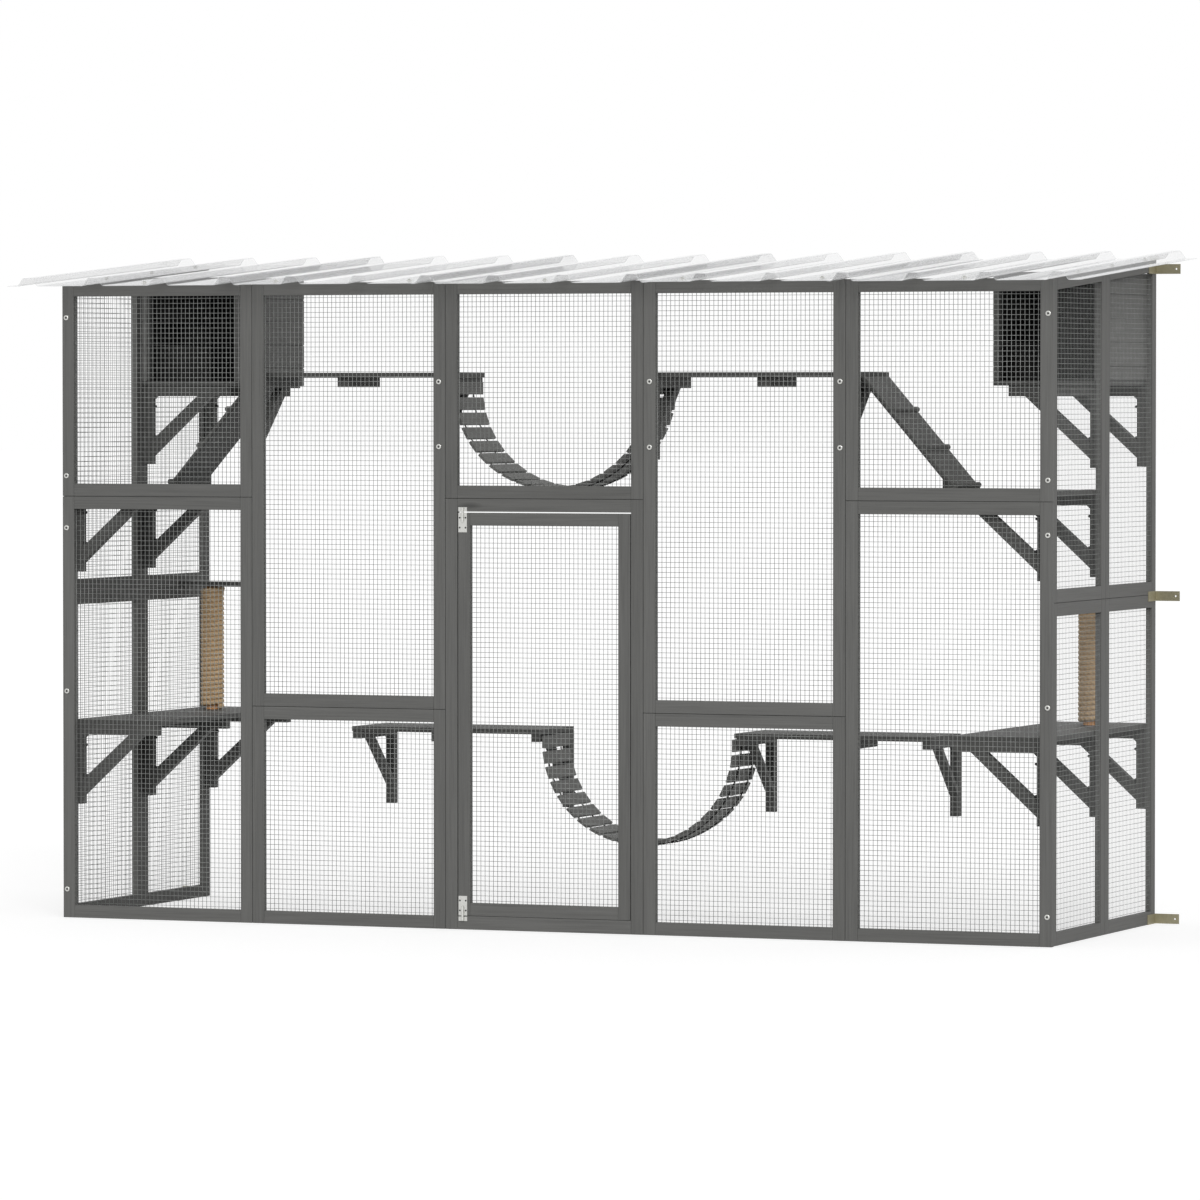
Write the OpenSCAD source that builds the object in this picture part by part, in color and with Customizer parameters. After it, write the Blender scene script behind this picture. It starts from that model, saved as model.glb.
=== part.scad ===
/* [Enclosure] */
// Length along the front wall
enclosure_w = 3000; // [2700:50:3300]
// Depth from the front face to the house wall
enclosure_d = 950; // [900:10:1100]
// Height of the front wall
front_h = 1827; // [1800:1:1950]
// Rise of the roof from the front face to the house wall
roof_rise = 68; // [40:1:110]

/* [Timber] */
// Face width of every stile and rail
bar_w = 36; // [32:1:40]
// Thickness of the front and side panels
bar_t = 18; // [16:1:24]
// Setback of the side walls from the ends of the front wall
side_inset = 4; // [0:1:8]
// Height of the seam in the door bay and the two end bays
high_seam = 1216; // [1150:1:1260]
// Height of the seam in the two bays beside the door
low_seam = 620; // [540:1:700]
// Height of the seam half way up the side walls
side_seam = 939; // [860:1:960]

/* [Netting] */
// Thickness of the netting's wires
wire_d = 1.6; // [1:0.1:2.5]
// Spacing of the netting's wires
net_pitch = 100; // [80:5:150]
// Distance of the netting behind the outer face of the timber
net_depth = 3; // [2:0.5:8]

/* [Door] */
// Gap between the door and its frame at the sides and the foot
door_gap = 3; // [2:0.5:5]
// Gap over the door
door_head_gap = 4; // [2:0.5:6]
// Width of a hinge plate
hinge_w = 26; // [20:1:34]
// Length of the hinge plate on the door
hinge_leaf_h = 56; // [44:1:80]
// Height of the hinge plate on the frame
hinge_tab_h = 12; // [10:1:20]
// Thickness of the hinge plates
hinge_t = 2; // [1.5:0.5:3]
// Diameter of the hinge pin
hinge_pin_d = 5; // [4:0.5:6]
// Wall of the barrel round the hinge pin
barrel_wall = 1.6; // [1.2:0.1:2.4]
// Distance of the hinge pin from the door's edge
hinge_inset = 15; // [14:1:20]

/* [Roof] */
// Thickness of the roof sheets
sheet_t = 1.2; // [0.8:0.1:2]
// Height of the roof sheets' ribs
rib_h = 22; // [14:1:30]
// Width of a rib at its foot
rib_foot = 60; // [50:1:80]
// Width of a rib at its crest
rib_crest = 28; // [18:1:36]
// Overhang of the roof at the front
eaves = 118; // [60:1:160]
// Overhang of the roof at each side
verge = 117; // [95:1:150]
// Distance from the last rib's centre to the sheet's edge
sheet_edge = 64.5; // [55:0.5:80]
// Width of flat sheet beyond the rib where two sheets lap
lap_edge = 14; // [8:1:24]

/* [Platforms] */
// Thickness of every platform and walkway board
board_t = 14; // [12:1:20]
// Width of the lower platforms
lower_reach = 278; // [260:1:320]
// Width of the middle platforms
mid_reach = 330; // [320:1:360]
// Height of the lower platforms' tops
lower_z = 572; // [500:1:640]
// How far the middle platforms' tops lie below the front wall's top
mid_drop = 584; // [560:1:600]
// How far the cat houses' floors lie below the front wall's top
house_drop = 279; // [260:1:300]
// Gap between a board's end and the timber it lies beside
board_gap = 3; // [1:1:8]
// How far a board runs past the bracket that carries its end
board_overrun = 6; // [2:1:12]

/* [Walkways] */
// Depth of the walkway boards
walkway_d = 250; // [210:5:260]
// How far the upper walkways' tops lie below the front wall's top
upper_walk_drop = 256; // [240:1:280]
// Height of the lower walkways' tops
lower_walk_z = 533; // [480:1:640]
// How far the lower walkways and their bridge stand to the right
lower_shift = 13; // [0:1:20]
// Overrun of the upper walkways past the end bracket
upper_overrun = 25; // [10:1:40]
// Overrun of the lower walkways past the end bracket
lower_overrun = 4; // [0:1:30]
// Width of the batten under the middle of a walkway
batten_w = 36; // [24:1:50]
// Height of the batten under a walkway
batten_h = 27; // [18:1:36]
// Distance of the batten's centre from the walkway's bridge end
batten_at = 338; // [200:1:420]

/* [Brackets] */
// Height of a bracket
bracket_h = 230; // [215:1:260]
// Reach of a bracket's arm
bracket_l = 270; // [250:1:275]
// Depth of a bracket's leg and arm
bracket_bar = 30; // [24:1:36]
// Thickness of a bracket
bracket_t = 26; // [18:1:26]
// Where the brace's outer edge meets the arm, from the wall
brace_reach = 221; // [200:1:235]
// Where the brace's outer edge meets the leg, from the top
brace_drop = 205; // [180:1:210]
// Length of the brace's cut ends
brace_end = 46; // [36:1:60]
// Side of the block in a bracket's corner
corner_block = 9; // [5:1:14]
// Diameter of a bracket's screw heads
bracket_screw_d = 9; // [6:0.5:12]
// Height of a bracket's screw heads
bracket_screw_h = 6; // [3:0.5:8]
// Distance of the upper screw below the arm
screw_drop = 30; // [20:1:50]
// Distance between a bracket's two screws
screw_pitch = 88; // [60:1:90]

/* [Walkway brackets] */
// Distance of an upper walkway's outer bracket from the bay's end
upper_bracket_in = 9; // [6:1:20]
// Distance of a lower walkway's outer bracket from the bay's end
lower_bracket_in = 13; // [6:1:20]
// Where the brace meets the arm under an upper walkway
upper_brace_reach = 190; // [180:1:235]
// Where the brace meets the leg under an upper walkway
upper_brace_drop = 178; // [170:1:210]
// Where the brace meets the arm under a lower walkway
lower_brace_reach = 187; // [180:1:235]
// Where the brace meets the leg under a lower walkway
lower_brace_drop = 168; // [160:1:200]
// Length of the brace's cut ends under a lower walkway
lower_brace_end = 24; // [20:1:50]
// Depth of the arm under a lower walkway
lower_arm = 22; // [20:1:36]
// Height of a lower walkway's bracket
lower_bracket_h = 225; // [215:1:260]
// Distance between the two screws of a walkway's bracket
walkway_screw_pitch = 52; // [40:1:60]

/* [Cat houses] */
// Width of a cat house
house_w = 314; // [280:1:340]
// Height of a cat house's walls
house_wall_h = 290; // [240:1:292]
// Thickness of a cat house's panels
house_t = 16; // [10:1:18]
// Height of the lowest siding board
siding_foot = 39; // [30:1:80]
// Height of the other siding boards
siding_h = 68; // [50:1:240]
// Depth of the groove between siding boards
siding_groove = 3; // [1:0.5:5]

/* [Ramps] */
// Width of a ramp
ramp_w = 205; // [160:5:220]
// Distance of a ramp behind the front face
ramp_y = 74; // [50:1:80]
// Thickness of a ramp's board, measured level
ramp_run_t = 17.6; // [14:0.1:24]
// How far the ramp's foot stands from the end of the walkway
ramp_run = 273; // [240:1:290]
// Width of a ramp's foot on the platform
ramp_foot = 41; // [30:1:60]
// Number of rungs on a ramp
rung_count = 3; // [2:1:4]
// Width of a rung
rung_w = 16; // [10:1:24]
// Height of a rung over the ramp
rung_h = 10; // [9:1:14]
// Height of the lowest rung over the platform
first_rung = 14; // [10:1:60]
// Rise from one rung to the next
rung_rise = 104.5; // [60:0.5:110]

/* [Rope bridges] */
// Length of a slat, across the bridge
slat_l = 200; // [160:5:210]
// Width of a slat, along the bridge
slat_w = 36; // [24:1:38]
// Thickness of a slat
slat_t = 8; // [6:0.5:10]
// Number of slats in a bridge
slat_count = 21; // [17:1:22]
// Drop of the upper bridge below its brackets' arms
upper_sag = 278; // [260:1:320]
// Drop of the lower bridge below its brackets' arms
lower_sag = 285; // [260:1:320]
// Thickness of the bridge ropes
bridge_rope_d = 6; // [4:0.5:8]
// Distance between a bridge's two ropes
rope_gauge = 108; // [80:1:140]
// Distance of the upper bridge's near edge behind the front face
upper_bridge_y = 58; // [54:1:80]
// Distance of the lower bridge's far edge from the house wall
lower_bridge_y = 67; // [30:1:70]

/* [Scratching posts] */
// Diameter of the sisal winding's rope
sisal_d = 13.8; // [10:0.1:16]
// Gap that is left between two turns of the rope at least
turn_gap = 0.6; // [0.5:0.1:2]
// Diameter over the winding
post_d = 70; // [60:1:84]
// Distance of the left post's axis from its side wall
left_post_in = 92; // [60:1:140]
// Distance of the right post's axis from its side wall
right_post_in = 120; // [60:1:140]
// Distance of a post's axis from the front face
post_y = 773; // [640:1:840]
// Length of the narrow shelf on a post
shelf_l = 238; // [190:2:280]
// Depth of the narrow shelf on a post
shelf_d = 70; // [50:2:120]

/* [Bolts and wall brackets] */
// Diameter of a frame bolt's head
bolt_head_d = 15; // [10:0.5:17]
// Height of a frame bolt's head
bolt_head_h = 3; // [2:0.5:5]
// Diameter of a frame bolt
bolt_d = 6; // [4:0.5:8]
// Length of a frame bolt under its head
bolt_l = 45; // [30:1:46]
// How far a walkway bracket's upper bolt lies below the walkway's top
bracket_bolt_drop = 26; // [20:1:40]
// Distance between a walkway bracket's two bolts
bracket_bolt_pitch = 183; // [150:1:190]
// Distance of a bolt from the bay's end at the outer brackets
outer_bolt_in = 16; // [14:1:16]
// Length of each leg of a wall bracket
angle_leg = 72; // [50:1:90]
// Height of a wall bracket
angle_h = 28; // [20:1:34]
// Thickness of a wall bracket
angle_t = 2; // [1.5:0.5:3]
// Diameter of the fixing hole in a wall bracket
angle_hole_d = 5; // [3:0.5:8]
// Distance of the fixing hole from the wall bracket's end
angle_hole_in = 12; // [8:1:20]

/* [Hidden] */
bays = 5;
sheets = 5;
ribs_per_sheet = 4;
seat = 0.3;
bore_gap = 0.2;
pin_gap = 0.05;
fine = 48;
bay_w = enclosure_w / bays;
half_w = enclosure_w / 2;
door_x = -bay_w / 2;
slope = atan(roof_rise / enclosure_d);
// Inner and outer faces of the right side wall
side_out = half_w - side_inset;
side_in = side_out - bar_t;
side_mid = (side_in + side_out) / 2;
// Where the front and back panels of a side wall meet
side_joint = (bar_t + enclosure_d) / 2;
rib_total = sheets * (ribs_per_sheet - 1) + 1;
rib_pitch = (enclosure_w + 2 * verge - 2 * sheet_edge) / (rib_total - 1);
sheet_lift = sheet_t + seat;
roof_top = seat + sheet_lift + rib_h + sheet_t;
// The box's middle in depth, from the front face
mid_y = (enclosure_d - eaves - roof_top * sin(slope)) / 2;
mid_z = front_h - mid_drop;
house_z = front_h - house_drop;
upper_walk_z = front_h - upper_walk_drop;
corner_bolt_z = [82, lower_z + 82, high_seam - 91, high_seam + 59, front_h - 97];
bracket_bolt_z = [upper_walk_z - bracket_bolt_drop - bracket_bolt_pitch, upper_walk_z - bracket_bolt_drop];
angle_z = [0, side_seam - angle_h / 2 - 4, front_h + roof_rise - 43];
side_bracket_y = [bar_t + bar_w / 2, side_joint + bar_w / 2, enclosure_d - bar_w / 2];
// Distance of an inner walkway bracket's middle from the bay's end
bracket_x = bridge_rope_d + 0.5 + bracket_t / 2;
upper_board_y = bar_t + bracket_l - walkway_d;
lower_board_y = enclosure_d - bracket_l;
bridge_half = bay_w / 2 - slat_t - seat;
slat_step = 180 / (slat_count - 1);
rope_offset = slat_t + bore_gap + bridge_rope_d / 2;
rope_sides = 8;
// The ropes end beside the bracket's arm, clear of the board when they swing
rope_top = 15;
coil_sides = 6;
coil_rings = 12;
coil_r = (post_d - sisal_d) / 2;
core_r = coil_r * cos(180 / coil_rings) - sisal_d / 2 - seat;
// A post's shelf lies just above the seam of the side wall
post_h = side_seam - 1 - lower_z;
coil_rise = post_h - sisal_d - 2 * seat;
sisal_turns = floor(coil_rise / (sisal_d + turn_gap));
coil_pitch = coil_rise / sisal_turns;
shelf_z = lower_z + post_h + board_t;
hinge_x = door_x + bar_w + door_gap + hinge_inset;
barrel_r = hinge_pin_d / 2 + pin_gap + barrel_wall;
hinge_y = -barrel_r - seat;
door_z0 = bar_w + door_gap;
door_z1 = high_seam - bar_w - door_head_gap;
ramp_x0 = bay_w * 1.5 + upper_overrun;
ramp_z0 = upper_walk_z - board_t;
ramp_slope = (ramp_z0 - mid_z) / ramp_run;

function bay_x(i) = -half_w + i * bay_w;
function roof_z(y) = front_h + y * tan(slope);
function rib_x(i) = (i - (rib_total - 1) / 2) * rib_pitch;
function sheet_of(x) = floor((x - rib_x(0)) / (rib_pitch * (ribs_per_sheet - 1)));
function lift_of(k) = (k % 2 == 1) ? sheet_lift : 0;

timber = "#696966";
galvanised = "#b9bcbf";
brass = "#9a8f63";
sisal = "#b8824a";

// Everything is drawn from the front face and set about the box's middle
module placed() translate([0, -mid_y, 0]) children();

module on_side(side) {
    if (side < 0) mirror([1, 0, 0]) children();
    else children();
}

module block(x0, x1, y0, y1, z0, z1) {
    translate([x0, y0, z0]) cube([x1 - x0, y1 - y0, z1 - z0]);
}

module along_y(y0, y1) translate([0, y1, 0]) rotate([90, 0, 0]) linear_extrude(y1 - y0) children();

module along_x(x0, x1) translate([x0, 0, 0]) rotate([90, 0, 90]) linear_extrude(x1 - x0) children();

// Frame bolts, from the front
module corner_bolt_axes() {
    for (side = [-1, 1], z = corner_bolt_z) translate([side * side_mid, 0, z]) rotate([-90, 0, 0]) children();
}

module bracket_bolt_axes() {
    for (x = [-bay_w / 2 - bracket_x, bay_w / 2 + bracket_x, bay_w * 1.5 - outer_bolt_in], z = bracket_bolt_z)
        translate([x, 0, z]) rotate([-90, 0, 0]) children();
}

module bolt_hole() translate([0, 0, -1]) cylinder(r = bolt_d / 2 + bore_gap, h = bolt_l + 1.5, $fn = fine);

module bolt() {
    difference() {
        translate([0, 0, -bolt_head_h]) cylinder(d = bolt_head_d, h = bolt_head_h, $fn = fine);
        translate([0, 0, -bolt_head_h - 1]) cylinder(d = bolt_d, h = bolt_head_h, $fn = 6);
    }
    cylinder(d = bolt_d, h = bolt_l, $fn = fine);
}

module frame_bolts() color(galvanised) placed() {
    corner_bolt_axes() bolt();
    bracket_bolt_axes() bolt();
}

// Roof screws stand square to the sheets
module roof_plane() translate([0, 0, front_h]) rotate([slope, 0, 0]) children();

module roof_screw_axes() roof_plane() {
    for (k = [-3 : 3]) translate([2 * k * rib_pitch, bar_t / 2, lift_of(sheet_of(2 * k * rib_pitch))]) children();
    for (side = [-1, 1], y = [0.28, 0.6, 0.92] * enclosure_d) translate([side * side_mid, y, 0]) children();
}

module roof_screw_hole() translate([0, 0, -32]) cylinder(d = 4 + 2 * bore_gap, h = 40, $fn = fine);

module roof_screw() {
    washer_z = seat + sheet_t;
    translate([0, 0, washer_z]) cylinder(d = 16, h = 1.5, $fn = fine);
    translate([0, 0, washer_z + 1.5]) cylinder(d1 = 11, d2 = 7, h = 3.5, $fn = fine);
    translate([0, 0, -30]) cylinder(d = 4, h = 31.5 + washer_z, $fn = fine);
}

module roof_screws() color(galvanised) placed() roof_screw_axes() roof_screw();

// One panel of the front wall: two stiles with two rails between them
module panel_bars(x0, x1, z0, z1, y0 = 0, y1 = bar_t) {
    for (x = [x0, x1 - bar_w]) block(x, x + bar_w, y0, y1, z0, z1);
    for (z = [z0, z1 - bar_w]) block(x0 + bar_w + seat, x1 - bar_w - seat, y0, y1, z, z + bar_w);
}

module front_panel(bay, z0, z1) color(timber) placed() difference() {
    panel_bars(bay_x(bay), bay_x(bay + 1), z0, z1);
    if (bay == 0 || bay == bays - 1) corner_bolt_axes() bolt_hole();
    if (z1 == front_h) {
        bracket_bolt_axes() bolt_hole();
        roof_screw_axes() roof_screw_hole();
    }
}

// Flat netting: a sheet with square gaps, cut to its opening
module net_shape(w, h) {
    nx = max(1, round(w / net_pitch));
    nz = max(1, round(h / net_pitch));
    gap_x = (w - (nx + 1) * wire_d) / nx;
    gap_z = (h - (nz + 1) * wire_d) / nz;
    difference() {
        square([w, h]);
        for (i = [0 : nx - 1], j = [0 : nz - 1])
            translate([wire_d + i * (gap_x + wire_d), wire_d + j * (gap_z + wire_d)]) square([gap_x, gap_z]);
    }
}

module front_net(x0, x1, z0, z1) {
    along_y(net_depth, net_depth + wire_d)
        translate([x0 + seat, z0 + seat]) net_shape(x1 - x0 - 2 * seat, z1 - z0 - 2 * seat);
}

function front_seam(bay) = (bay % 2 == 0) ? high_seam : low_seam;

module front_netting() color(galvanised) placed() {
    for (bay = [0 : bays - 1]) {
        x0 = bay_x(bay) + bar_w;
        x1 = bay_x(bay + 1) - bar_w;
        if (bay != 2) front_net(x0, x1, bar_w, front_seam(bay) - bar_w);
        front_net(x0, x1, front_seam(bay) + bar_w, front_h - bar_w);
    }
}

// Side walls, drawn in depth and height; the upper panels follow the roof
function side_top(y, upper) = upper ? roof_z(y) : side_seam;

module side_panel(y0, y1, upper) {
    z0 = upper ? side_seam : 0;
    ya = y0 + bar_w + seat;
    yb = y1 - bar_w - seat;
    for (y = [y0, y1 - bar_w]) along_x(side_in, side_out)
        polygon([[y, z0], [y + bar_w, z0], [y + bar_w, side_top(y + bar_w, upper)], [y, side_top(y, upper)]]);
    along_x(side_in, side_out) translate([ya, z0]) square([yb - ya, bar_w]);
    along_x(side_in, side_out) polygon([
        [ya, side_top(ya, upper) - bar_w], [yb, side_top(yb, upper) - bar_w],
        [yb, side_top(yb, upper)], [ya, side_top(ya, upper)]
    ]);
}

module side_wall_panel(side, back, upper) color(timber) placed() difference() {
    on_side(side) side_panel(back ? side_joint : bar_t, back ? enclosure_d : side_joint, upper);
    if (!back) corner_bolt_axes() bolt_hole();
    if (upper) roof_screw_axes() roof_screw_hole();
}

module side_net(y0, y1, upper) {
    ya = y0 + bar_w + seat;
    yb = y1 - bar_w - seat;
    z0 = (upper ? side_seam : 0) + bar_w + seat;
    za = side_top(ya, upper) - bar_w - seat;
    zb = side_top(yb, upper) - bar_w - seat;
    along_x(side_out - net_depth - wire_d, side_out - net_depth) intersection() {
        translate([ya, z0]) net_shape(yb - ya, zb - z0);
        polygon([[ya, z0], [yb, z0], [yb, zb], [ya, za]]);
    }
}

module side_netting(side) color(galvanised) placed() on_side(side) {
    for (upper = [false, true]) {
        side_net(bar_t, side_joint, upper);
        side_net(side_joint, enclosure_d, upper);
    }
}

// The door, its netting and its two pivot hinges
door_x0 = door_x + bar_w + door_gap;
door_x1 = -door_x0;

module door_leaf() color(timber) placed() panel_bars(door_x0, door_x1, door_z0, door_z1);

module door_netting() color(galvanised) placed()
    front_net(door_x0 + bar_w, door_x1 - bar_w, door_z0 + bar_w, door_z1 - bar_w);

// Half height of the space between the two barrels of a hinge
hinge_meet = 0.4;

module hinge_ends() {
    translate([hinge_x, 0, door_z1 + door_head_gap / 2]) children();
    translate([hinge_x, 0, door_z0 - door_gap / 2]) mirror([0, 0, 1]) children();
}

module hinge_plate(z0, z1) block(-hinge_w / 2, hinge_w / 2, -hinge_t, 0, z0, z1);

module hinge_web(z0, z1) block(-barrel_r, barrel_r, hinge_y, -hinge_t / 2, z0, z1);

module hinge_frame_plates() color("silver") placed() hinge_ends() {
    hinge_plate(hinge_meet + 1.1, hinge_meet + 1.1 + hinge_tab_h);
    hinge_web(hinge_meet, hinge_meet + hinge_tab_h);
    translate([0, hinge_y, hinge_meet]) cylinder(r = barrel_r, h = hinge_tab_h, $fn = fine);
    translate([0, hinge_y, -hinge_tab_h]) cylinder(d = hinge_pin_d, h = 2 * hinge_tab_h, $fn = fine);
}

module hinge_door_plates() color("silver") placed() hinge_ends() difference() {
    union() {
        hinge_plate(-hinge_leaf_h - 1.1, -hinge_meet - 1.5);
        hinge_web(-hinge_leaf_h / 2, -hinge_meet);
        translate([0, hinge_y, -hinge_leaf_h / 2]) cylinder(r = barrel_r, h = hinge_leaf_h / 2 - hinge_meet, $fn = fine);
    }
    translate([0, hinge_y, -hinge_leaf_h / 2 - 1])
        cylinder(r = hinge_pin_d / 2 + pin_gap, h = hinge_leaf_h / 2 + 2, $fn = fine);
}

// Roof sheets with trapezoid ribs, lapped rib over rib
function rib_path(i) = [
    [rib_x(i) - rib_foot / 2, 0], [rib_x(i) - rib_crest / 2, rib_h],
    [rib_x(i) + rib_crest / 2, rib_h], [rib_x(i) + rib_foot / 2, 0]
];

function sheet_path(k) = let (
    first = k * (ribs_per_sheet - 1),
    last = first + ribs_per_sheet - 1,
    x0 = k == 0 ? rib_x(0) - sheet_edge : rib_x(first) - rib_foot / 2 - lap_edge,
    x1 = k == sheets - 1 ? rib_x(last) + sheet_edge : rib_x(last) + rib_foot / 2 + lap_edge
) concat([[x0, 0]], [for (i = [first : last], p = rib_path(i)) p], [[x1, 0]]);

module roof_sheet(k) color([0.85, 0.9, 0.95, 0.4]) placed() difference() {
    path = sheet_path(k);
    roof_plane() translate([0, 0, seat + lift_of(k)]) along_y(-eaves / cos(slope), enclosure_d / cos(slope))
        polygon(concat(path, [for (i = [len(path) - 1 : -1 : 0]) path[i] + [0, sheet_t]]));
    roof_screw_axes() roof_screw_hole();
}

// Brackets: a leg on the wall, an arm under the board and a brace between them
module bracket(reach, drop, end = brace_end, arm = bracket_bar, h = bracket_h) {
    block(0, bracket_bar, -bracket_t / 2, bracket_t / 2, -h, 0);
    block(bracket_bar + seat, bracket_l, -bracket_t / 2, bracket_t / 2, -arm, 0);
    along_y(-bracket_t / 2, bracket_t / 2) translate([seat, -seat]) polygon([
        [bracket_bar, -drop], [reach, -arm], [reach - end, -arm], [bracket_bar, end - drop]
    ]);
    along_y(-bracket_t / 2, bracket_t / 2) translate([seat, 0]) polygon([
        [bracket_bar, -arm - corner_block], [bracket_bar, -arm], [bracket_bar + corner_block, -arm]
    ]);
}

module side_bracket() bracket(brace_reach, brace_drop);

module bracket_screw_heads(pitch) {
    for (z = [0, 1]) translate([bracket_bar, 0, -bracket_bar - screw_drop - z * pitch]) rotate([0, 90, 0])
        cylinder(d = bracket_screw_d, h = bracket_screw_h, $fn = fine);
}

// Where the brackets stand: side walls, front wall and house wall
module side_bracket_places(z, rows) {
    for (side = [-1, 1], row = rows)
        on_side(side) translate([side_in, side_bracket_y[row], z - board_t]) rotate([0, 0, 180]) children();
}

module walkway_ends(outer_in) {
    for (side = [-1, 1], x = [bay_w / 2 + bracket_x, bay_w * 1.5 - outer_in]) translate([side * x, 0, 0]) children();
}

module front_bracket_places() {
    walkway_ends(upper_bracket_in) translate([0, bar_t, upper_walk_z - board_t]) rotate([0, 0, 90]) children();
}

module back_bracket_places() {
    walkway_ends(lower_bracket_in)
        translate([lower_shift, enclosure_d, lower_walk_z - board_t]) rotate([0, 0, -90]) children();
}

module lower_platform_brackets() color(timber) placed() side_bracket_places(lower_z, [0, 1, 2]) side_bracket();

module mid_platform_brackets() color(timber) placed() side_bracket_places(mid_z, [0, 1]) side_bracket();

module cat_house_brackets() color(timber) placed() side_bracket_places(house_z, [1, 2]) side_bracket();

module upper_walkway_brackets() color(timber) placed() difference() {
    front_bracket_places() bracket(upper_brace_reach, upper_brace_drop);
    bracket_bolt_axes() bolt_hole();
}

module lower_walkway_brackets() color(timber) placed()
    back_bracket_places() bracket(lower_brace_reach, lower_brace_drop, lower_brace_end, lower_arm, lower_bracket_h);

module bracket_screws() color("dimgray") placed() {
    side_bracket_places(lower_z, [0, 1, 2]) bracket_screw_heads(screw_pitch);
    side_bracket_places(mid_z, [0, 1]) bracket_screw_heads(screw_pitch);
    side_bracket_places(house_z, [1, 2]) bracket_screw_heads(screw_pitch);
    front_bracket_places() bracket_screw_heads(walkway_screw_pitch);
    back_bracket_places() bracket_screw_heads(walkway_screw_pitch);
}

// Platforms on the side walls
module platform(reach, y0, y1, z) block(side_in - reach, side_in, y0, y1, z - board_t, z);

front_board_y = bar_t + board_gap;
back_board_y = enclosure_d - board_gap;

module lower_platform(side) color(timber) placed() on_side(side)
    platform(lower_reach, front_board_y, back_board_y, lower_z);

module mid_platform(side) color(timber) placed() on_side(side)
    platform(mid_reach, front_board_y, side_bracket_y[1] + bracket_t / 2 + board_overrun, mid_z);

module cat_house_floors() color(timber) placed() for (side = [-1, 1]) on_side(side)
    platform(house_w, side_joint, back_board_y, house_z);

// Walkways: a board with a batten, on two brackets
module walkway(x1, y0, z) {
    block(bay_w / 2, x1, y0, y0 + walkway_d, z - board_t, z);
    batten_x = bay_w / 2 + batten_at;
    block(batten_x - batten_w / 2, batten_x + batten_w / 2, y0 + 15, y0 + walkway_d - 15,
        z - board_t - seat - batten_h, z - board_t - seat);
}

module upper_walkways() color(timber) placed() for (side = [-1, 1]) on_side(side)
    walkway(ramp_x0, upper_board_y, upper_walk_z);

module lower_walkways() color(timber) placed() translate([lower_shift, 0, 0]) for (side = [-1, 1]) on_side(side)
    walkway(bay_w * 1.5 + lower_overrun, lower_board_y, lower_walk_z);

// Cat houses: two sided walls, a back and a top, open at the front
module siding_wall(x0, outward) {
    grooves = [for (z = [siding_foot : siding_h : house_wall_h - 10]) z];
    face = outward > 0 ? x0 + house_t : x0;
    along_y(side_joint, back_board_y) difference() {
        translate([x0, house_z]) square([house_t, house_wall_h]);
        for (z = grooves) translate([face, house_z + z]) circle(r = siding_groove, $fn = 4);
    }
}

module cat_house(side) color(timber) placed() on_side(side) {
    x0 = side_in - house_w;
    siding_wall(x0, -1);
    siding_wall(side_in - house_t, 1);
    roof_z0 = house_z + house_wall_h + seat;
    block(x0 + house_t + seat, side_in - house_t - seat, back_board_y - house_t, back_board_y,
        house_z, house_z + house_wall_h);
    block(x0, side_in, side_joint, back_board_y, roof_z0, roof_z0 + board_t);
}

// Ramps from the upper walkways down to the middle platforms
module rung_shape() {
    translate([-rung_w / 2, 0]) square([rung_w, rung_h - rung_w / 2]);
    translate([0, rung_h - rung_w / 2]) intersection() {
        circle(d = rung_w, $fn = fine);
        translate([-rung_w / 2, 0]) square(rung_w);
    }
}

module ramp(side) color(timber) placed() on_side(side) along_y(ramp_y, ramp_y + ramp_w) {
    foot_x = ramp_x0 + ramp_run;
    edge_x = foot_x - ramp_foot;
    polygon([
        [ramp_x0 + 5.4 - ramp_run_t, ramp_z0], [ramp_x0 + 5.4, ramp_z0], [foot_x + 5.4, mid_z], [edge_x, mid_z],
        [edge_x, mid_z + (ramp_foot - ramp_run_t + 5.4) * ramp_slope]
    ]);
    for (i = [0 : rung_count - 1]) {
        z = mid_z + first_rung + i * rung_rise;
        translate([foot_x + 5.4 - (z - mid_z) / ramp_slope, z]) rotate(-atan(ramp_slope))
            translate([0, seat]) rung_shape();
    }
}

// Rope bridges: slats on two ropes that hang in a half ellipse
function slat_at(i, sag) = [-bridge_half * cos(i * slat_step), -sag * sin(i * slat_step)];
function slat_turn(i, sag) = atan2(sag * cos(i * slat_step), bridge_half * sin(i * slat_step));

module slats(y0, z, sag) {
    for (i = [0 : slat_count - 1]) {
        p = slat_at(i, sag);
        translate([p[0], y0, z + p[1]]) rotate([0, slat_turn(i, sag), 0])
            translate([-slat_w / 2, 0, -slat_t]) cube([slat_w, slat_l, slat_t]);
    }
}

// The rope's line under slat i: the way out from the slat, and the line's distance that way
function rope_line(i, sag) = let (turn = slat_turn(i, sag), out = [-sin(turn), -cos(turn)])
    [out[0], out[1], out * slat_at(i, sag) + rope_offset];

function crossing(a, b) = [a[2] * b[1] - b[2] * a[1], a[0] * b[2] - b[0] * a[2]] / (a[0] * b[1] - b[0] * a[1]);

// Points of one rope: its corners lie between the slats
function rope_path(top, sag) = concat(
    [[-bridge_half - rope_offset, top - seat]],
    [for (i = [0 : slat_count - 2]) crossing(rope_line(i, sag), rope_line(i + 1, sag))],
    [[bridge_half + rope_offset, top - seat]]
);

// A round tube swept along points in the plane of the bridge
function tube_ring(path, i, r, sides) = let (
    a = path[max(i - 1, 0)],
    b = path[min(i + 1, len(path) - 1)],
    run = (b - a) / norm(b - a)
) [for (j = [0 : sides - 1]) let (w = 360 * (j + 0.5) / sides)
    [path[i][0] + r * cos(w) * run[1], r * sin(w), path[i][1] - r * cos(w) * run[0]]];

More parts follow.
